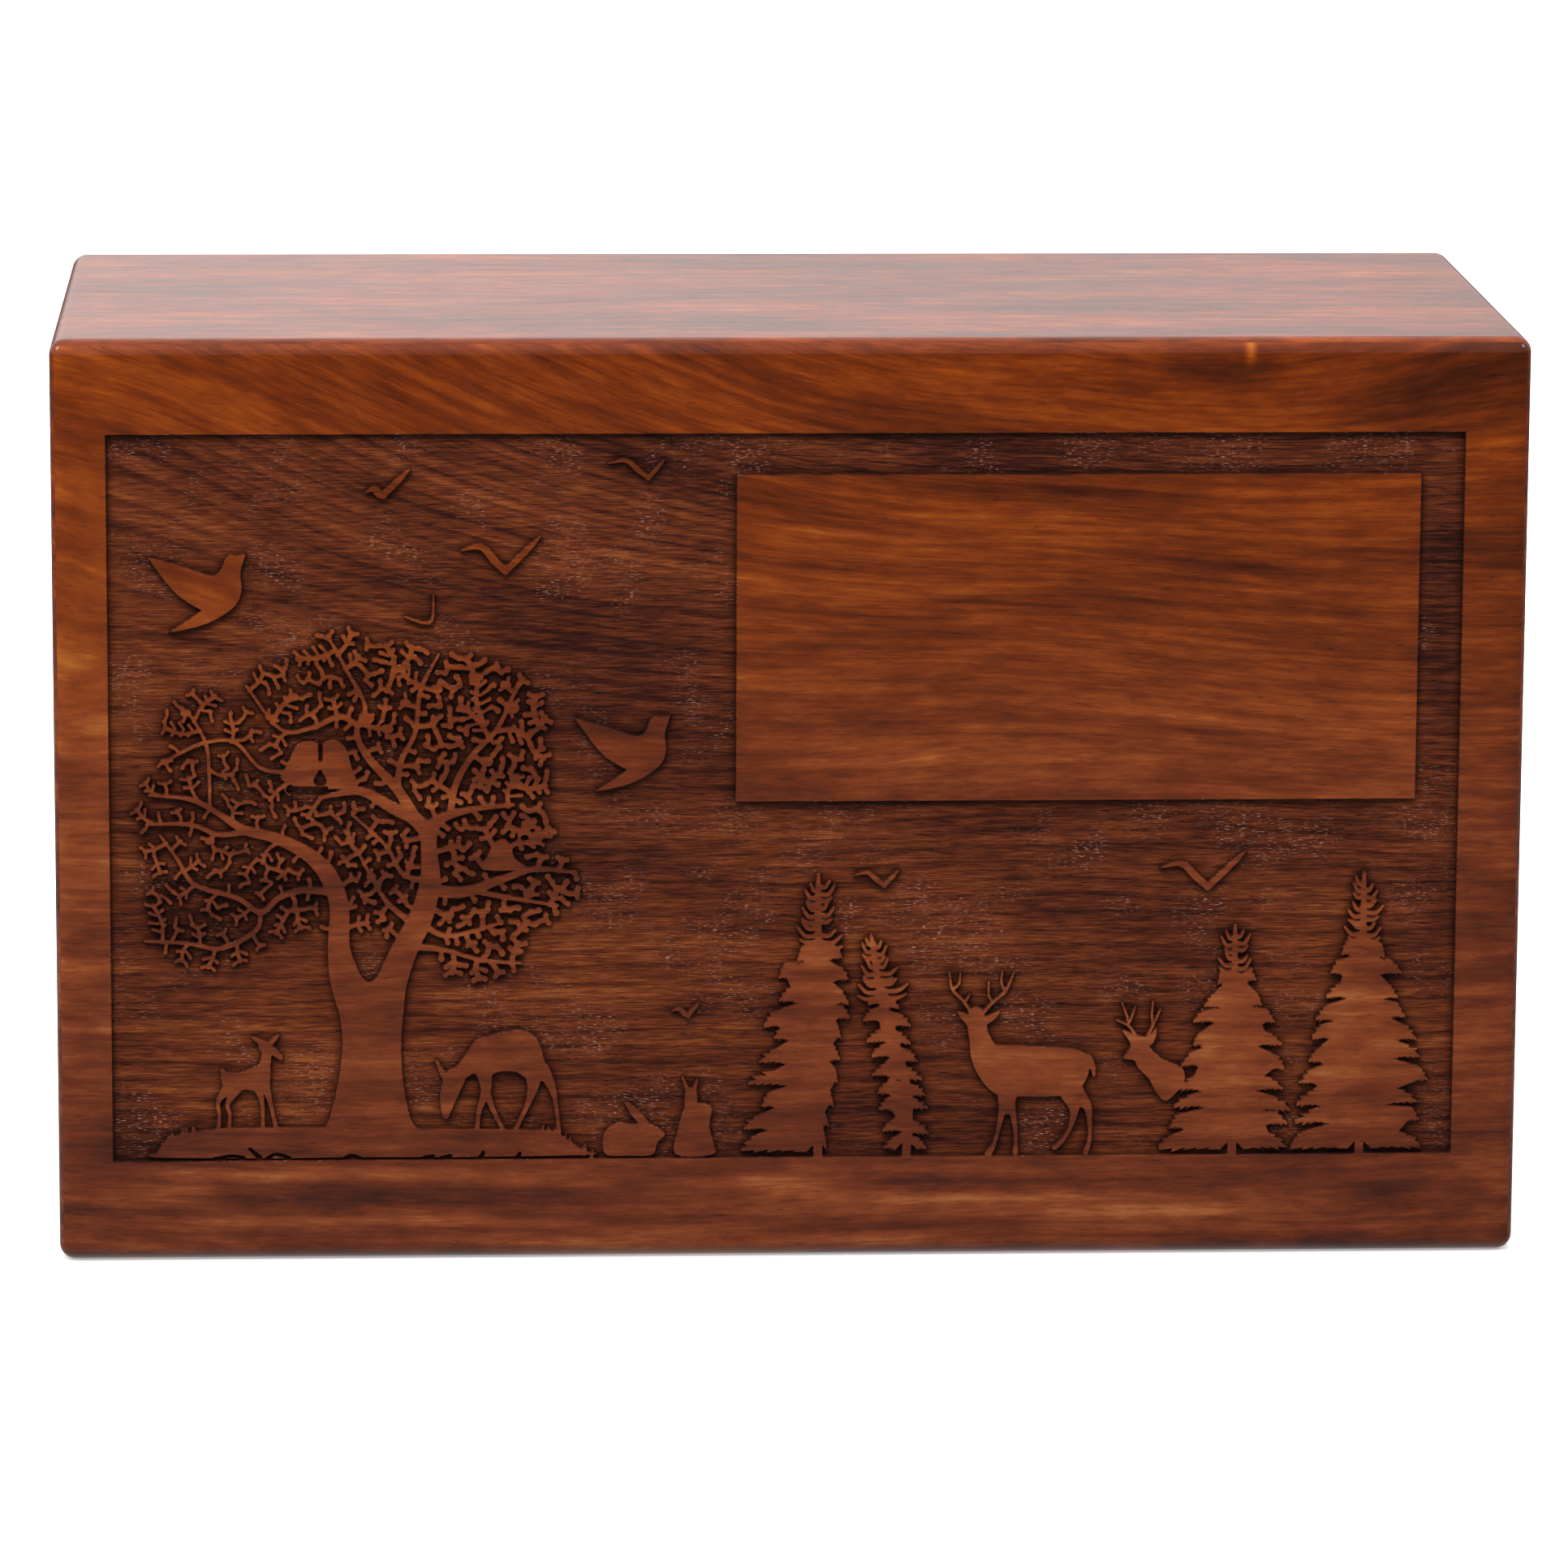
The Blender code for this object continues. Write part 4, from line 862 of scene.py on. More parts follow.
def leaveLeaves(root, spot, reach, width, chance):
    # leaves stand in pairs along a twig, the last pair close to its end
    tree = greatTree
    run = spot - root
    length = np.hypot(*run)
    heading = math.atan2(run[1], run[0])
    for k in range(max(int(length / tree["leafGap"]), 1)):
        start = spot - run / length * tree["leafGap"] * (k + 0.2)
        for side in (-1, 1):
            turn = heading + side * tree["leafTurn"] + chance.uniform(-0.22, 0.22)
            tip = start + reach * chance.uniform(0.8, 1.15) * np.array((math.cos(turn), math.sin(turn)))
            leave(np.array(((*start, width * 0.75), (*tip, width * 1.12))), toLimb, 0.15, 3.0)


def growCrown():
    tree = greatTree
    chance = np.random.default_rng(tree["seed"])
    for x, z, radius in sorted(tree["hearts"], key=lambda heart: math.dist(heart[:2], tree["fork"])):
        spot = np.array((x, z))
        root = leaveTwig(spot, 0.5, 0.5, chance)
        leave(np.array(((x - 0.3, z, radius), (x + 0.3, z, radius))), toLimb)
        leaveLeaves(root, spot, radius + 1.0, tree["leafWidth"], chance)
    lobes = np.array(tree["lobes"])
    low = (lobes[:, :2] - lobes[:, 2:]).min(axis=0)
    high = (lobes[:, :2] + lobes[:, 2:]).max(axis=0)
    spots = np.stack(np.meshgrid(*(np.arange(*ends, tree["spacing"]) for ends in zip(low, high))), axis=2)
    spots = spots.reshape(-1, 2)
    spots += chance.uniform(-0.5, 0.5, spots.shape) * tree["spacing"]
    inLobe = [(((spots - lobe[:2]) / lobe[2:]) ** 2).sum(axis=1) < 1 for lobe in lobes]
    isFree = [np.hypot(*(spots - (x, z)).T) > radius for x, z, radius in tree["clearings"]]
    spots = chance.permutation(spots[np.any(inLobe, axis=0) & np.all(isFree, axis=0)])
    count = 0
    for nearest, furthest, width, bud, leafReach, startX in tree["passes"]:
        for spot in spots:
            thicker = np.interp(spot[0], *tree["thickening"])
            if spot[0] < startX or not nearest < backFrom(*spot)[0] * thicker ** 0.5 < furthest:
                continue
            root = leaveTwig(spot, width * thicker, bud * thicker * chance.uniform(0.9, 1.12), chance)
            if leafReach:
                leaveLeaves(root, spot, leafReach, tree["leafWidth"] * thicker, chance)
            count += 1
    return count


# The firs: foot, height, half widths of the left and the right side from the top to the foot, lean at the
# top, boughs, and how near to the stem the gaps between the boughs come, as shares of the half width
firTrees = {
    "trees": (
        ((5.4, 20.2), 54.8, (1.6, 4.8, 8.8, 12.8, 13.6), (1.6, 5.4, 6.2, 3.8, 1.6),
         -0.2, 13, (0.44, 0.82)),
        ((22.4, 20.4), 42.6, (1.4, 4.6, 4.4, 4.6, 4.2), (1.4, 4.8, 4.8, 5.8, 5.0),
         -7.0, 12, (0.04, 0.36)),
        ((85.2, 20.2), 44.4, (1.8, 4.6, 7.8, 10.6, 13.0), (1.8, 4.8, 9.0, 12.0, 12.0),
         0.0, 11, (0.44, 0.80)),
        ((109.8, 20.2), 54.8, (1.6, 4.6, 8.2, 11.0, 12.2), (1.6, 5.0, 9.2, 12.4, 13.6),
         0.0, 13, (0.44, 0.80)),
    ),
    "openTop": 0.26,  # the share at the top where sprigs stand apart
    # sprigs: length, height and how far they curl up
    "sprigs": ((1.0, -0.2, 1.7), (0.66, 1.2, 1.5), (0.86, -1.5, 0.8)),
    "stem": 0.9,  # half width
    "arch": (2.2, 1.7),  # the gap beside the foot of the stem, wide and high
    "lengths": (0.80, 1.12),  # boughs, as shares of the half width there
    "firstBough": 0.80,  # the topmost ones are shorter again
    # along the top of a bough with its needles, outwards and up
    "boughTop": ((0.32, 0.88), (0.62, 0.76), (0.55, 0.66), (0.86, 0.56), (0.77, 0.46), (0.98, 0.30)),
    "teeth": 4,
    "toothDrop": 0.9,
    "seed": 5,
}


def shareOf(values, share):
    along = share * (len(values) - 1)
    k = min(int(along), len(values) - 2)
    return values[k] + (values[k + 1] - values[k]) * (along - k)


def leaveFir(foot, height, leftReach, rightReach, lean, boughs, gaps, chance):
    firs = firTrees
    footX, footZ = foot
    top = footZ + height
    drop = height / boughs
    openTo = top - height * firs["openTop"]
    middleAt = lambda z: footX + lean * (z - footZ) / height
    sides = []
    for way, reaches in ((1, rightReach), (-1, leftReach)):
        side = [(middleAt(openTo) + way * 0.5, openTo + drop * 0.4)]
        for k in range(1, boughs + 1):
            z = top - (k + chance.uniform(-0.2, 0.2) * (k < boughs)) * drop
            middle = middleAt(z)
            reach = shareOf(reaches, k / boughs) * chance.uniform(*firs["lengths"])
            if z > openTo:
                for length, start, rise in firs["sprigs"]:
                    end = reach * length * chance.uniform(0.85, 1.1)
                    tipHeight = z + start + rise * chance.uniform(0.7, 1.1)
                    leave(limb(((middle, z + start + 0.2, 0.5), (middle + way * end * 0.6, z + start, 0.46),
                                (middle + way * end, tipHeight, 0.30))), toLimb)
                continue
            # along the top of a bough, round its tip, then back under it to the gap
            if len(side) == 1:
                reach *= firs["firstBough"]
            gap = chance.uniform(*gaps) * reach
            root = (middle + way * gap, z + drop * 0.12)
            if k == boughs:
                root = (middle + way * min(firs["arch"][0], reach), z + 0.3)
            tip = (middle + way * reach, z + drop * chance.uniform(0.02, 0.18))
            for out, up in firs["boughTop"]:
                side.append((middle + way * (gap + (reach - gap) * out * chance.uniform(0.92, 1.06)),
                             z + drop * (up + chance.uniform(-0.04, 0.04))))
            side.append(tip)
            for tooth in range(1, firs["teeth"] + 1):
                share = tooth / (firs["teeth"] + 1)
                x = tip[0] + (root[0] - tip[0]) * share
                edge = tip[1] + (root[1] - tip[1]) * share + 0.3 * math.sin(math.pi * share)
                side.append((x - way * 0.2, edge + 0.15))
                fall = firs["toothDrop"] * chance.uniform(0.4, 1.0) * (1 - share)
                side.append((x + way * 0.15, edge - fall))
            side.append(root)
        side.append((footX + way * firs["stem"], footZ + firs["arch"][1]))
        sides.append(side)
    cone = np.array([*sides[0], *reversed(sides[1])])
    leave(cone, toLoop, 0.15)
    leave(limb(((footX, engraving["bottom"] - 1.0, firs["stem"]), (footX, footZ + height * 0.3, firs["stem"]),
                (middleAt(openTo), openTo, 0.7), (middleAt(top), top, 0.4))), toLimb)


# The animals: closed curves as lists, limbs as tuples of (x, z, half width)
animals = {
    "stag": (
        [(35.0, 42.2), (38.4, 41.6), (46.0, 41.2), (54.4, 40.7), (57.3, 39.0), (57.6, 36.6), (56.3, 33.4),
         (53.0, 31.4), (43.0, 31.2), (39.8, 31.6), (37.2, 33.8), (35.2, 37.2), (34.5, 40.0)],
        ((37.2, 40.0, 2.6), (36.2, 43.2, 2.0), (35.8, 45.4, 1.9), (35.6, 47.6, 1.5)),
        ((34.4, 46.0, 0.9), (33.2, 47.1, 0.7), (32.2, 47.9, 0.3)),
        ((37.0, 46.0, 0.9), (38.8, 47.0, 0.7), (40.0, 47.9, 0.3)),
        ((57.2, 38.6, 1.0), (58.2, 36.8, 0.6), (58.4, 35.2, 0.3)),
        ((41.8, 32.0, 2.0), (41.6, 29.2, 1.5)),
        ((41.0, 29.4, 0.8), (40.2, 25.4, 0.5), (39.3, 21.8, 0.45), (38.2, 19.9, 0.7)),
        ((42.6, 29.4, 0.8), (43.3, 25.4, 0.5), (43.5, 22.0, 0.45), (43.4, 20.3, 0.6)),
        ((54.0, 32.4, 2.4), (54.7, 28.8, 1.0), (54.0, 25.2, 0.5), (52.4, 22.4, 0.45), (51.0, 21.2, 0.6)),
        ((55.2, 31.4, 1.8), (57.2, 29.2, 0.9), (57.7, 26.0, 0.5), (57.7, 22.6, 0.45), (57.0, 20.2, 0.6)),
        ((35.0, 47.4, 0.4), (33.0, 50.2, 0.35), (31.0, 52.4, 0.35), (30.4, 55.8, 0.25)),
        ((31.2, 52.4, 0.3), (32.3, 53.6, 0.3), (32.5, 55.6, 0.25)),
        ((33.4, 49.8, 0.3), (34.4, 51.4, 0.25)),
        ((36.8, 47.6, 0.4), (38.8, 49.8, 0.35), (41.2, 52.0, 0.35), (42.8, 55.6, 0.25)),
        ((41.0, 52.0, 0.3), (40.4, 53.8, 0.3), (40.6, 56.0, 0.25)),
        ((38.8, 49.8, 0.3), (38.0, 51.2, 0.3), (38.0, 53.8, 0.25)),
    ),
    "watchingStag": (
        [(65.4, 43.2), (69.2, 42.6), (69.2, 40.8), (71.6, 38.6), (75.0, 37.0), (76.0, 35.2), (75.2, 32.8),
         (72.4, 30.2), (70.4, 31.8), (69.0, 34.4), (66.8, 36.8), (66.0, 38.2), (64.0, 38.5), (64.4, 39.6),
         (65.3, 41.0)],
        ((66.0, 42.2, 0.9), (65.0, 43.2, 0.6), (64.0, 44.0, 0.3)),
        ((69.0, 42.0, 0.9), (69.8, 43.2, 0.6), (70.2, 44.3, 0.3)),
        ((66.4, 43.0, 0.35), (65.0, 45.0, 0.3), (62.6, 46.2, 0.25)),
        ((65.0, 45.0, 0.3), (64.6, 47.0, 0.3), (63.6, 49.6, 0.25)),
        ((65.2, 45.8, 0.3), (66.2, 48.8, 0.25)),
        ((68.6, 43.0, 0.35), (69.8, 45.4, 0.3), (71.0, 48.2, 0.25)),
        ((69.6, 45.0, 0.3), (69.4, 47.2, 0.3), (69.6, 49.8, 0.25)),
    ),
    "grazingDoe": (
        [(-62.0, 40.4), (-60.0, 43.2), (-57.2, 44.0), (-54.2, 44.8), (-51.2, 44.9), (-48.6, 43.4),
         (-47.3, 39.8), (-46.5, 35.8), (-49.6, 34.8), (-52.4, 36.6), (-55.8, 36.7), (-58.6, 35.4),
         (-60.6, 36.4), (-63.4, 34.6), (-65.4, 35.4), (-64.2, 37.4)],
        ((-64.2, 35.6, 2.0), (-65.2, 32.8, 1.8), (-65.8, 30.0, 1.2), (-66.0, 28.2, 0.7)),
        ((-66.0, 35.6, 0.7), (-67.0, 37.4, 0.5), (-67.7, 39.0, 0.25)),
        ((-58.6, 36.6, 1.6), (-58.3, 33.2, 1.0), (-59.6, 29.0, 0.5), (-60.0, 25.0, 0.45)),
        ((-58.3, 33.2, 0.8), (-56.8, 29.0, 0.5), (-55.0, 25.4, 0.45)),
        ((-49.0, 36.6, 1.8), (-49.4, 33.2, 1.0), (-50.6, 29.6, 0.5), (-52.6, 25.4, 0.45)),
        ((-47.4, 37.0, 1.4), (-45.8, 34.0, 0.9), (-44.9, 30.4, 0.45), (-44.3, 25.0, 0.45)),
    ),
    "fawn": (
        [(-108.6, 36.8), (-105.0, 37.0), (-101.8, 38.4), (-99.6, 38.0), (-99.6, 34.8), (-101.4, 33.2),
         (-104.6, 33.5), (-107.4, 32.8), (-108.6, 34.4)],
        ((-100.8, 36.6, 1.2), (-100.2, 39.6, 1.0), (-100.0, 41.8, 1.0)),
        ((-100.6, 42.0, 1.1), (-98.8, 41.0, 0.8), (-97.4, 39.8, 0.5)),
        ((-100.6, 42.4, 0.5), (-101.8, 43.2, 0.5), (-102.8, 43.8, 0.25)),
        ((-99.6, 42.2, 0.5), (-98.6, 43.4, 0.45), (-97.8, 44.2, 0.25)),
        ((-107.8, 35.8, 0.7), (-108.6, 37.4, 0.4)),
        ((-107.4, 34.0, 1.1), (-109.4, 31.2, 0.5), (-109.2, 28.6, 0.4), (-109.4, 25.4, 0.4)),
        ((-105.8, 34.0, 1.1), (-107.6, 30.8, 0.5), (-107.2, 28.6, 0.4), (-107.4, 25.6, 0.4)),
        ((-101.8, 34.2, 0.9), (-101.0, 30.6, 0.45), (-100.9, 25.6, 0.4)),
        ((-100.4, 34.4, 0.9), (-99.4, 30.6, 0.45), (-98.4, 25.8, 0.4)),
    ),
    "hares": (
        [(-36.0, 22.6), (-35.4, 25.0), (-33.0, 26.7), (-30.2, 26.4), (-26.6, 26.2), (-23.9, 24.4),
         (-25.4, 22.6), (-26.4, 20.2), (-31.0, 20.0), (-35.2, 20.2)],
        ((-27.6, 26.0, 0.8), (-29.6, 28.4, 0.9), (-31.4, 30.4, 0.4)),
        [(-21.9, 20.2), (-21.6, 25.0), (-20.2, 29.4), (-17.6, 30.4), (-15.0, 29.6), (-15.4, 25.8),
         (-14.6, 22.6), (-14.7, 20.2)],
        ((-19.0, 29.4, 1.2), (-19.0, 31.4, 1.3), (-19.0, 32.6, 0.9)),
        ((-19.4, 32.0, 0.5), (-20.0, 33.8, 0.4), (-20.6, 35.4, 0.25)),
        ((-18.5, 32.0, 0.5), (-18.2, 33.6, 0.4), (-17.8, 35.0, 0.25)),
    ),
}

birds = {
    # a dove with swept wings, its beak at the upper right, in shares of its span
    "dove": (
        (0.00, 0.78, 1), (0.33, 0.69), (0.63, 0.59), (0.73, 0.63), (0.78, 0.75), (0.83, 0.80), (0.90, 0.79),
        (1.00, 0.81, 1), (0.965, 0.71), (0.94, 0.60), (0.95, 0.42), (0.88, 0.27), (0.68, 0.13), (0.46, 0.05),
        (0.20, 0.00, 1), (0.40, 0.13), (0.54, 0.23, 1), (0.36, 0.34), (0.26, 0.43), (0.14, 0.58),
    ),
    "doves": ((-122.0, 122.2, 18.8), (-41.4, 91.2, 18.4)),  # x, z, span
    # gulls: the middle, the left and the right wing tip measured from it, and the weight
    "gulls": (
        ((-54.4, 133.8), (-8.4, 4.0), (6.6, 6.6), 1.0), ((79.8, 72.2), (-9.2, 3.8), (7.2, 7.0), 1.0),
        ((-27.4, 151.6), (-7.6, 2.8), (3.2, 3.6), 0.7), ((-77.4, 148.4), (-3.2, 0.6), (5.0, 5.0), 1.0),
        ((17.8, 72.8), (-5.8, 2.0), (2.8, 3.0), 0.7), ((-19.6, 47.6), (-3.2, 0.8), (2.2, 2.6), 0.7),
    ),
    "perchedPair": (
        (-97.0, 94.0), (-95.6, 97.2), (-94.2, 100.4), (-92.0, 101.4), (-89.5, 101.0), (-87.0, 101.6),
        (-84.8, 100.2), (-83.6, 96.4), (-82.6, 92.4), (-86.6, 92.0), (-92.6, 92.2),
    ),
    "sprig": ((-73.5, 125.2, 0.22), (-69.8, 124.0, 0.36), (-68.2, 124.8, 0.36), (-68.0, 129.4, 0.22)),
    "nestBird": ((-58.6, 76.2), (-57.8, 79.2), (-56.4, 81.6), (-54.6, 82.2), (-53.4, 80.8), (-52.6, 78.4),
                 (-50.6, 76.4)),
}


def leaveGull(middle, left, right, weight):
    # a distant gull: its left wing bent and its right wing straight
    middle, left, right = np.array(middle), np.array(left), np.array(right)
    thick = 0.66 * weight
    wrist = np.array((left[0] * 0.55, left[1] * 1.02 + thick))
    elbow = np.array((left[0] * 0.24, left[1] * 0.50))
    leave(limb([(*(middle + left), thick * 0.3), (*(middle + wrist), thick), (*(middle + elbow), thick * 1.2),
                (*middle, thick)]), toLimb)
    leave(limb([(*middle, thick), (*(middle + right * 0.4), thick), (*(middle + right * 0.75), thick * 0.8),
                (*(middle + right), thick * 0.3)]), toLimb)


# The mound under the great tree, its grass, and the small gaps cut in it and in the birds
ground = {
    "mound": (
        (-121.6, 20.3), (-121.0, 21.4), (-119.4, 23.6), (-116.0, 25.0), (-110.0, 25.8), (-100.0, 26.1),
        (-58.0, 25.5), (-47.0, 25.2), (-44.4, 24.4), (-42.0, 22.8), (-39.6, 21.2), (-38.2, 20.3),
    ),
    "moundFoot": ((-60.0, 20.0), (-84.0, 20.1), (-100.0, 20.0)),
    "grass": ((-121.0, -113.0, 9), (-48.0, -37.5, 9)),  # from x to x, and how many blades
    "gaps": (
        ((-110.2, 20.0, 0.3), (-107.0, 20.5, 0.3), (-104.6, 20.2, 0.3)),
        ((-103.4, 21.9, 0.25), (-101.6, 20.2, 0.5)),
        ((-100.2, 20.0, 0.3), (-98.4, 20.8, 0.3), (-95.8, 20.1, 0.3)),
        ((-85.2, 20.0, 0.3), (-84.0, 20.2, 0.6), (-82.4, 20.0, 0.3)),
        ((-70.2, 20.0, 0.3), (-68.4, 20.3, 0.3)),
        ((-66.8, 20.0, 0.3), (-65.0, 20.4, 0.3)),
        ((-59.2, 20.0, 0.5), (-58.8, 20.9, 0.3)),
        ((-52.2, 20.0, 0.4), (-51.8, 20.7, 0.3)),
        ((-89.5, 97.8, 0.36), (-89.5, 102.4, 0.36)),
        ((-89.6, 93.8, 1.2), (-89.6, 95.4, 0.3)),
        ((-95.4, 91.9, 0.7), (-92.0, 91.9, 0.6), (-88.4, 92.2, 0.3)),
        ((-51.0, 82.4, 0.5), (-50.6, 82.4, 0.5)),
        ((-49.4, 83.8, 0.3), (-49.2, 83.8, 0.3)),
    ),
}


def drawPicture():
    plateLeft, plateBottom, plateRight, plateTop = engraving["plate"]
    plate = ((plateLeft, plateBottom), (plateRight, plateBottom), (plateRight, plateTop),
             (plateLeft, plateTop))
    leave(np.array(plate, float), toLoop, 0.0)
    tree = greatTree
    leave(curvedLoop(tree["trunk"]), toLoop, reach=7.5)
    for points in tree["limbs"]:
        leave(limb(points), toLimb, reach=7.5)
    for name in ("perchedPair", "nestBird"):
        leave(curvedLoop(birds[name]), toLoop)
    twigCount = growCrown()
    leave(curvedLoop(ground["mound"] + ground["moundFoot"]), toLoop)
    chance = random.Random(firTrees["seed"])
    for start, end, blades in ground["grass"]:
        for k in range(blades):
            x = start + (end - start) * (k + chance.random()) / blades
            z = np.interp(x, *np.array(ground["mound"]).T)
            leave(np.array(((x, z - 0.6, 0.4), (x + chance.uniform(-0.6, 0.6), z + 0.9, 0.16))), toLimb)
    for values in firTrees["trees"]:
        leaveFir(*values, chance)
    for shapes in animals.values():
        for shape in shapes:
            if isinstance(shape, list):
                leave(curvedLoop(shape), toLoop)
            else:
                leave(limb(shape), toLimb)
    dove = curvedLoop(birds["dove"])
    for x, z, span in birds["doves"]:
        leave(dove * span + (x, z), toLoop)
    for values in birds["gulls"]:
        leaveGull(*values)
    leave(limb(birds["sprig"]), toLimb)
    for points in ground["gaps"]:
        cutAway(limb(points), toLimb)
    print("picture drawn:", twigCount, "twigs")


# From the grid to a surface. For each pattern of inside corners, which side of the cell a contour enters
# and leaves by: bottom 0, right 1, top 2 and left 3, with what stands on its left
contourTurns = {
    1: ((0, 3),), 2: ((1, 0),), 3: ((1, 3),), 4: ((2, 1),), 5: ((0, 3), (2, 1)), 6: ((2, 0),), 7: ((2, 3),),
    8: ((3, 2),), 9: ((0, 2),), 10: ((1, 0), (3, 2)), 11: ((1, 2),), 12: ((3, 1),), 13: ((0, 1),),
    14: ((3, 0),),
}


def contours(level):
    # closed loops of points where the grid passes the level
    field = standing - level
    rows, columns = field.shape
    inside = field < 0
    pattern = (inside[:-1, :-1] * 1 + inside[:-1, 1:] * 2 + inside[1:, 1:] * 4 + inside[1:, :-1] * 8)
    onward = {}
    for case, turns in contourTurns.items():
        j, i = np.nonzero(pattern == case)
        # a crossing is numbered by its grid point, odd when it lies above the point
        sides = (2 * (j * columns + i), 2 * (j * columns + i + 1) + 1, 2 * ((j + 1) * columns + i),
                 2 * (j * columns + i) + 1)
        for enter, leaveBy in turns:
            onward.update(zip(sides[enter].tolist(), sides[leaveBy].tolist()))
    loops = []
    while onward:
        start, here = onward.popitem()
        path = [start]
        while here != start:
            path.append(here)
            here = onward.pop(here)
        loops.append(np.array(path))
    made = []
    for path in loops:
        j, i = np.divmod(path // 2, columns)
        up = path % 2
        first, second = field[j, i], field[j + up, i + 1 - up]
        share = first / (first - second)
        cell = engraving["cell"]
        made.append(np.stack((gridX[0, 0] + (i + share * (1 - up)) * cell,
                              gridZ[0, 0] + (j + share * up) * cell), axis=1))
    return made


def thinned(loop, slack):
    # drops every other point that lies close to the line through its neighbours, pass after pass
    while len(loop) > 9:
        odd = np.arange(1, len(loop) - 1, 2)
        run = loop[odd + 1] - loop[odd - 1]
        off = loop[odd] - loop[odd - 1]
        gap = np.abs(run[:, 0] * off[:, 1] - run[:, 1] * off[:, 0]) / np.maximum(np.hypot(*run.T), 1e-9)
        keep = np.ones(len(loop), bool)
        keep[odd[gap < slack]] = False
        if keep.all():
            break
        loop = loop[keep]
    return loop


def reliefSheet(border):
    # triangles of the engraved face inside a border of (x, z), in mm, with each point's level
    points = [Vector(p) for p in border]
    levels = [0] * len(border)
    edges = [(k, (k + 1) % len(border)) for k in range(len(border))]
    ways = [Vector((0.0, 0.0))] * len(border)
    for number, (level, _) in enumerate(engraving["levels"]):
        for loop in contours(level):
            if len(loop) < engraving["smallest"]:
                continue
            loop = thinned(loop, engraving["slack"])
            first = len(points)
            count = len(loop)
            ahead = np.roll(loop, -1, axis=0) - np.roll(loop, 1, axis=0)
            ahead /= np.maximum(np.hypot(*ahead.T), 1e-9)[:, None]
            points += [Vector(p) for p in loop.tolist()]
            ways += [Vector((dz, -dx)) for dx, dz in ahead.tolist()]
            levels += [number] * count
            edges += [(first + k, first + (k + 1) % count) for k in range(count)]
    print("contours:", len(points), "points")
    spots, _, triangles, sources, _, _ = delaunay_2d_cdt(points, edges, [], 0, 1e-6, True)
    spotLevels = [levels[source[0]] if source else 2 for source in sources]
    spotWays = [ways[source[0]] if source else Vector((0.0, 0.0)) for source in sources]
    borderSpots = {source[0]: k for k, source in enumerate(sources) if source and source[0] < len(border)}
    return spots, triangles, spotLevels, spotWays, borderSpots


def standingAt(x, z):
    i = int((x - gridX[0, 0]) / engraving["cell"] + 0.5)
    j = int((z - gridZ[0, 0]) / engraving["cell"] + 0.5)
    rows, columns = standing.shape
    return standing[j, i] if 0 <= i < columns and 0 <= j < rows else -9.0


def engraveBoard(board, finishes):
    # swaps the flat front face for the engraved sheet
    bm = bmesh.new()
    bm.from_mesh(board.data)
    front = [f for f in bm.faces
             if f.normal.y < -0.999 and abs(f.calc_center_median().y - boxLow.y) < 0.1 * mm]
    bmesh.ops.delete(bm, geom=front, context="FACES_ONLY")
    bm.verts.ensure_lookup_table()
    bm.verts.index_update()
    rim = {v.index for e in bm.edges if e.is_boundary for v in e.verts}
    middle = Vector((0.0, 0.0, (boxLow.z + boxHigh.z) / 2))
    order = sorted(rim, key=lambda k: math.atan2(bm.verts[k].co.z - middle.z, bm.verts[k].co.x))
    border = [(bm.verts[k].co.x / mm, bm.verts[k].co.z / mm) for k in order]
    verts = [v.co[:] for v in bm.verts]
    faces = [[v.index for v in f.verts] for f in bm.faces]
    slots = [0] * len(faces)
    bm.free()

    spots, triangles, levels, ways, borderSpots = reliefSheet(border)
    place = {spot: order[source] for source, spot in borderSpots.items()}
    for k, spot in enumerate(spots):
        if k not in place:
            place[k] = len(verts)
            verts.append((spot.x * mm, boxLow.y + engraving["levels"][levels[k]][1] * mm, spot.y * mm))
    flat = Vector((0.0, -1.0, 0.0))
    normals = []
    for triangle in triangles:
        found = {levels[k] for k in triangle}
        if found == {1}:
            x = sum(spots[k].x for k in triangle) / 3
            z = sum(spots[k].y for k in triangle) / 3
            isWall = standingAt(x, z) > engraving["levels"][1][0]
        else:
            isWall = found not in ({0}, {2}, {0, 1})
        faces.append([place[k] for k in triangle])
        slots.append(2 if isWall else 0 if found == {0} or found == {1} else 1)
        for k in triangle:
            side = Vector((ways[k].x, 0.0, ways[k].y))
            if found == {2} or levels[k] == 0 or found == {1} and not isWall:
                normals.append(flat)
            elif levels[k] == 1:
                normals.append((side * 0.8 + flat * 0.6).normalized())
            else:
                normals.append((side + flat * 0.15).normalized())
    mesh = bpy.data.meshes.new(board.name)
    mesh.from_pydata(verts, [], faces)
    for finish in finishes:
        mesh.materials.append(finish)
    mesh.polygons.foreach_set("material_index", slots)
    board.data = mesh
    print("front board:", sum(len(f) - 2 for f in faces), "triangles")
    return normals


# Putting the box together

piecePlan = (
    # CAD node, the way it faces, and the end of that axis
    ("front_board", 1, -1), ("back_board", 1, 1), ("left_board", 0, -1), ("right_board", 0, 1),
    ("top_board", 2, 1),
)


def standIn(piece, node):
    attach(piece, "root")
    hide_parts(node)


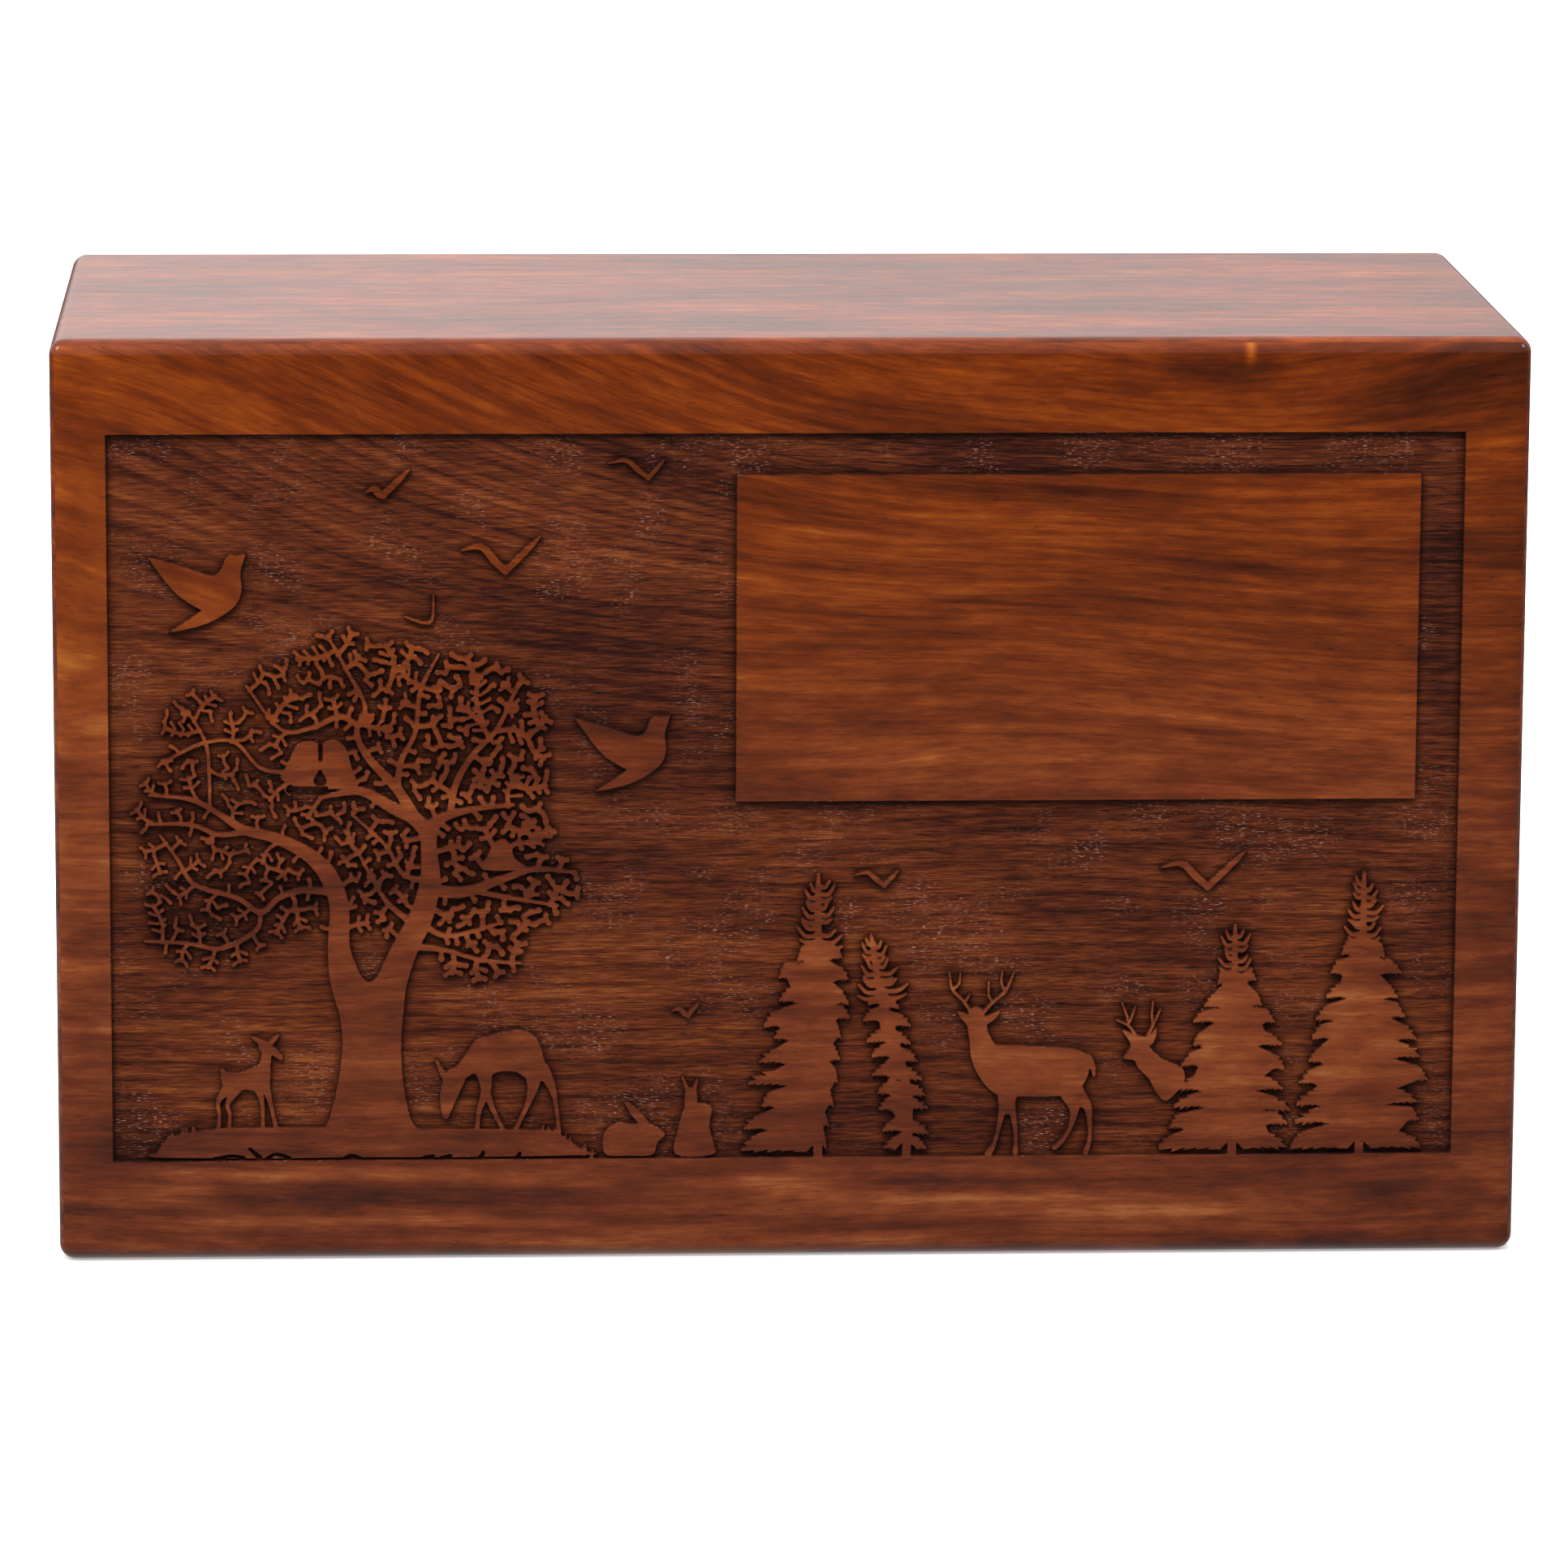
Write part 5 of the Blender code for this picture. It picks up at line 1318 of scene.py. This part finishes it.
def buildBoards():
    for node, axis, side in piecePlan:
        board = mitredBoard(f"{node}_wood", axis, side)
        grain = boardGrain[node]
        polished = lacqueredRosewood(f"rosewood_lacquered_{node}", grain)
        relief = []
        if node == "front_board":
            drawPicture()
            # the polished face, the engraved ground with painted glints and shade, and the walls with char
            # and painted shade
            finishes = (polished, engravedRosewood("rosewood_laser_engraved", grain),
                        engravedRosewood("rosewood_laser_scorched_and_shaded", grain, True))
            relief = engraveBoard(board, finishes)
        else:
            board.data.materials.clear()
            board.data.materials.append(polished)
        shadeBoard(board.data, relief)
        standIn(board, node)
        print(node, "built")


def buildBase():
    inset = boxForm["lip"] + boxForm["baseFit"]
    panel = block("base_panel_wood", (boxLow.x + inset, boxLow.y + inset, 0.0),
                  (boxHigh.x - inset, boxHigh.y - inset, boxForm["baseThickness"]), boxForm["baseChamfer"], 3)
    brass = turnedBrass("brass_turned_aged")
    for number, place in enumerate(screwPlaces(), 1):
        hole = turned("hole", screwProfile(screwForm["fit"]), place)
        combine(panel, hole, "DIFFERENCE")
        settle(panel)
        discard(hole)
        screw = baseScrew(f"base_screw_{number}_brass", place, brass)
        standIn(screw, f"base_screw_{number}")
    panel.data.materials.clear()
    panel.data.materials.append(lacqueredRosewood("rosewood_lacquered_base_panel", boardGrain["base_panel"]))
    panel.data.shade_smooth()
    panel.data.set_sharp_from_angle(angle=math.radians(35))
    standIn(panel, "base_panel")
    print("base panel and screws built")


# The studio: white above and behind, dim before the box so that its gloss stays deep
studio = {
    # height of a direction from -1, straight down, to 1, and how bright it is
    "glow": ((-1.0, 0.90), (-0.7, 0.55), (-0.30, 0.28), (-0.22, 0.36), (-0.13, 0.10), (-0.02, 0.10),
             (0.03, 0.78), (0.45, 0.78), (0.7, 1.0), (1.0, 1.0)),
    "beforeAndBehind": (0.7, 1.05),  # how bright it is before the box and behind it
    "leftAndRight": (1.03, 0.79),
    "backdrop": 1.0,
    "lights": {
        # place, what it points at, width and height, watts, whether it shows in the gloss
        "highSoftbox": ((-0.4, -1.4, 1.7), (0.0, 0.0, 0.08), (1.2, 0.9), 30.0, False),
        "backSoftbox": ((0.0, 1.1, 1.6), (0.0, 0.0, 0.1), (1.0, 0.8), 36.0, False),
        "leftSoftbox": ((-1.2, -0.35, 1.1), (-0.1, 0.0, 0.12), (0.4, 0.4), 4.0, True),
        "rightSoftbox": ((1.3, -0.45, 1.1), (0.1, 0.0, 0.12), (0.4, 0.4), 4.0, True),
    },
    "floorSize": 6.0,
    "floorColour": "f8f8f8",
    "floorGlow": 0.35,  # the board is lit from below too, so the box throws hardly any shadow
}


def buildStudio():
    world = bpy.data.worlds.new("studio")
    world.use_nodes = True
    tree = world.node_tree
    tree.nodes.clear()
    way = addNode(tree, "ShaderNodeTexCoord", {}, {}).outputs["Generated"]
    split = addNode(tree, "ShaderNodeSeparateXYZ", {}, {0: way})
    height = addNode(tree, "ShaderNodeMapRange", {}, {"Value": split.outputs["Z"], "From Min": -1.0})
    glow = addNode(tree, "ShaderNodeValToRGB",
                   {"stops": [((z + 1) / 2, (share, share, share, 1.0)) for z, share in studio["glow"]]},
                   {0: height.outputs[0]})
    before, behind = studio["beforeAndBehind"]
    depth = addNode(tree, "ShaderNodeMapRange", {},
                    {"Value": split.outputs["Y"], "From Min": -0.5, "From Max": 0.5, "To Min": before,
                     "To Max": behind})
    left, right = studio["leftAndRight"]
    side = addNode(tree, "ShaderNodeMapRange", {},
                   {"Value": split.outputs["X"], "From Min": -0.04, "From Max": 0.14, "To Min": left,
                    "To Max": right})
    strength = addNode(tree, "ShaderNodeMath", {"operation": "MULTIPLY"},
                       {0: depth.outputs[0], 1: side.outputs[0]})
    around = addNode(tree, "ShaderNodeBackground", {},
                     {"Color": glow.outputs["Color"], "Strength": strength.outputs[0]})
    backdrop = addNode(tree, "ShaderNodeBackground", {},
                       {"Color": (1.0, 1.0, 1.0, 1.0), "Strength": studio["backdrop"]})
    seen = addNode(tree, "ShaderNodeLightPath", {}, {}).outputs["Is Camera Ray"]
    mixed = addNode(tree, "ShaderNodeMixShader", {}, {0: seen, 1: around.outputs[0], 2: backdrop.outputs[0]})
    addNode(tree, "ShaderNodeOutputWorld", {}, {"Surface": mixed.outputs[0]})
    scene = bpy.context.scene
    scene.world = world
    scene.view_settings.view_transform = "Standard"

    for name, (place, aim, size, watts, isInGloss) in studio["lights"].items():
        light = bpy.data.lights.new(name, "AREA")
        light.shape = "RECTANGLE"
        light.size, light.size_y = size
        light.energy = watts
        lamp = bpy.data.objects.new(name, light)
        scene.collection.objects.link(lamp)
        lamp.location = place
        lamp.rotation_euler = (Vector(aim) - Vector(place)).to_track_quat("-Z", "Y").to_euler()
        lamp.visible_glossy = isInGloss

    bm = bmesh.new()
    bmesh.ops.create_grid(bm, x_segments=1, y_segments=1, size=studio["floorSize"] / 2)
    floor = meshObject("floor", bm)
    floor.location.z = -0.2 * mm
    material, tree, shader = newMaterial("painted_board_matt")
    cloud = addNode(tree, "ShaderNodeTexNoise", {}, {"Scale": 3.0, "Detail": 2.0})
    rough = addNode(tree, "ShaderNodeMapRange", {},
                    {"Value": cloud.outputs["Fac"], "To Min": 0.8, "To Max": 0.9})
    tree.links.new(rough.outputs[0], shader.inputs["Roughness"])
    shader.inputs["Base Color"].default_value = linear(studio["floorColour"])
    shader.inputs["Emission Color"].default_value = linear(studio["floorColour"])
    shader.inputs["Emission Strength"].default_value = studio["floorGlow"]
    floor.data.materials.append(material)
    floor.visible_glossy = False
    floor.visible_diffuse = False
    print("studio set")


addCamera(cameraView)
buildBoards()
buildBase()
buildStudio()
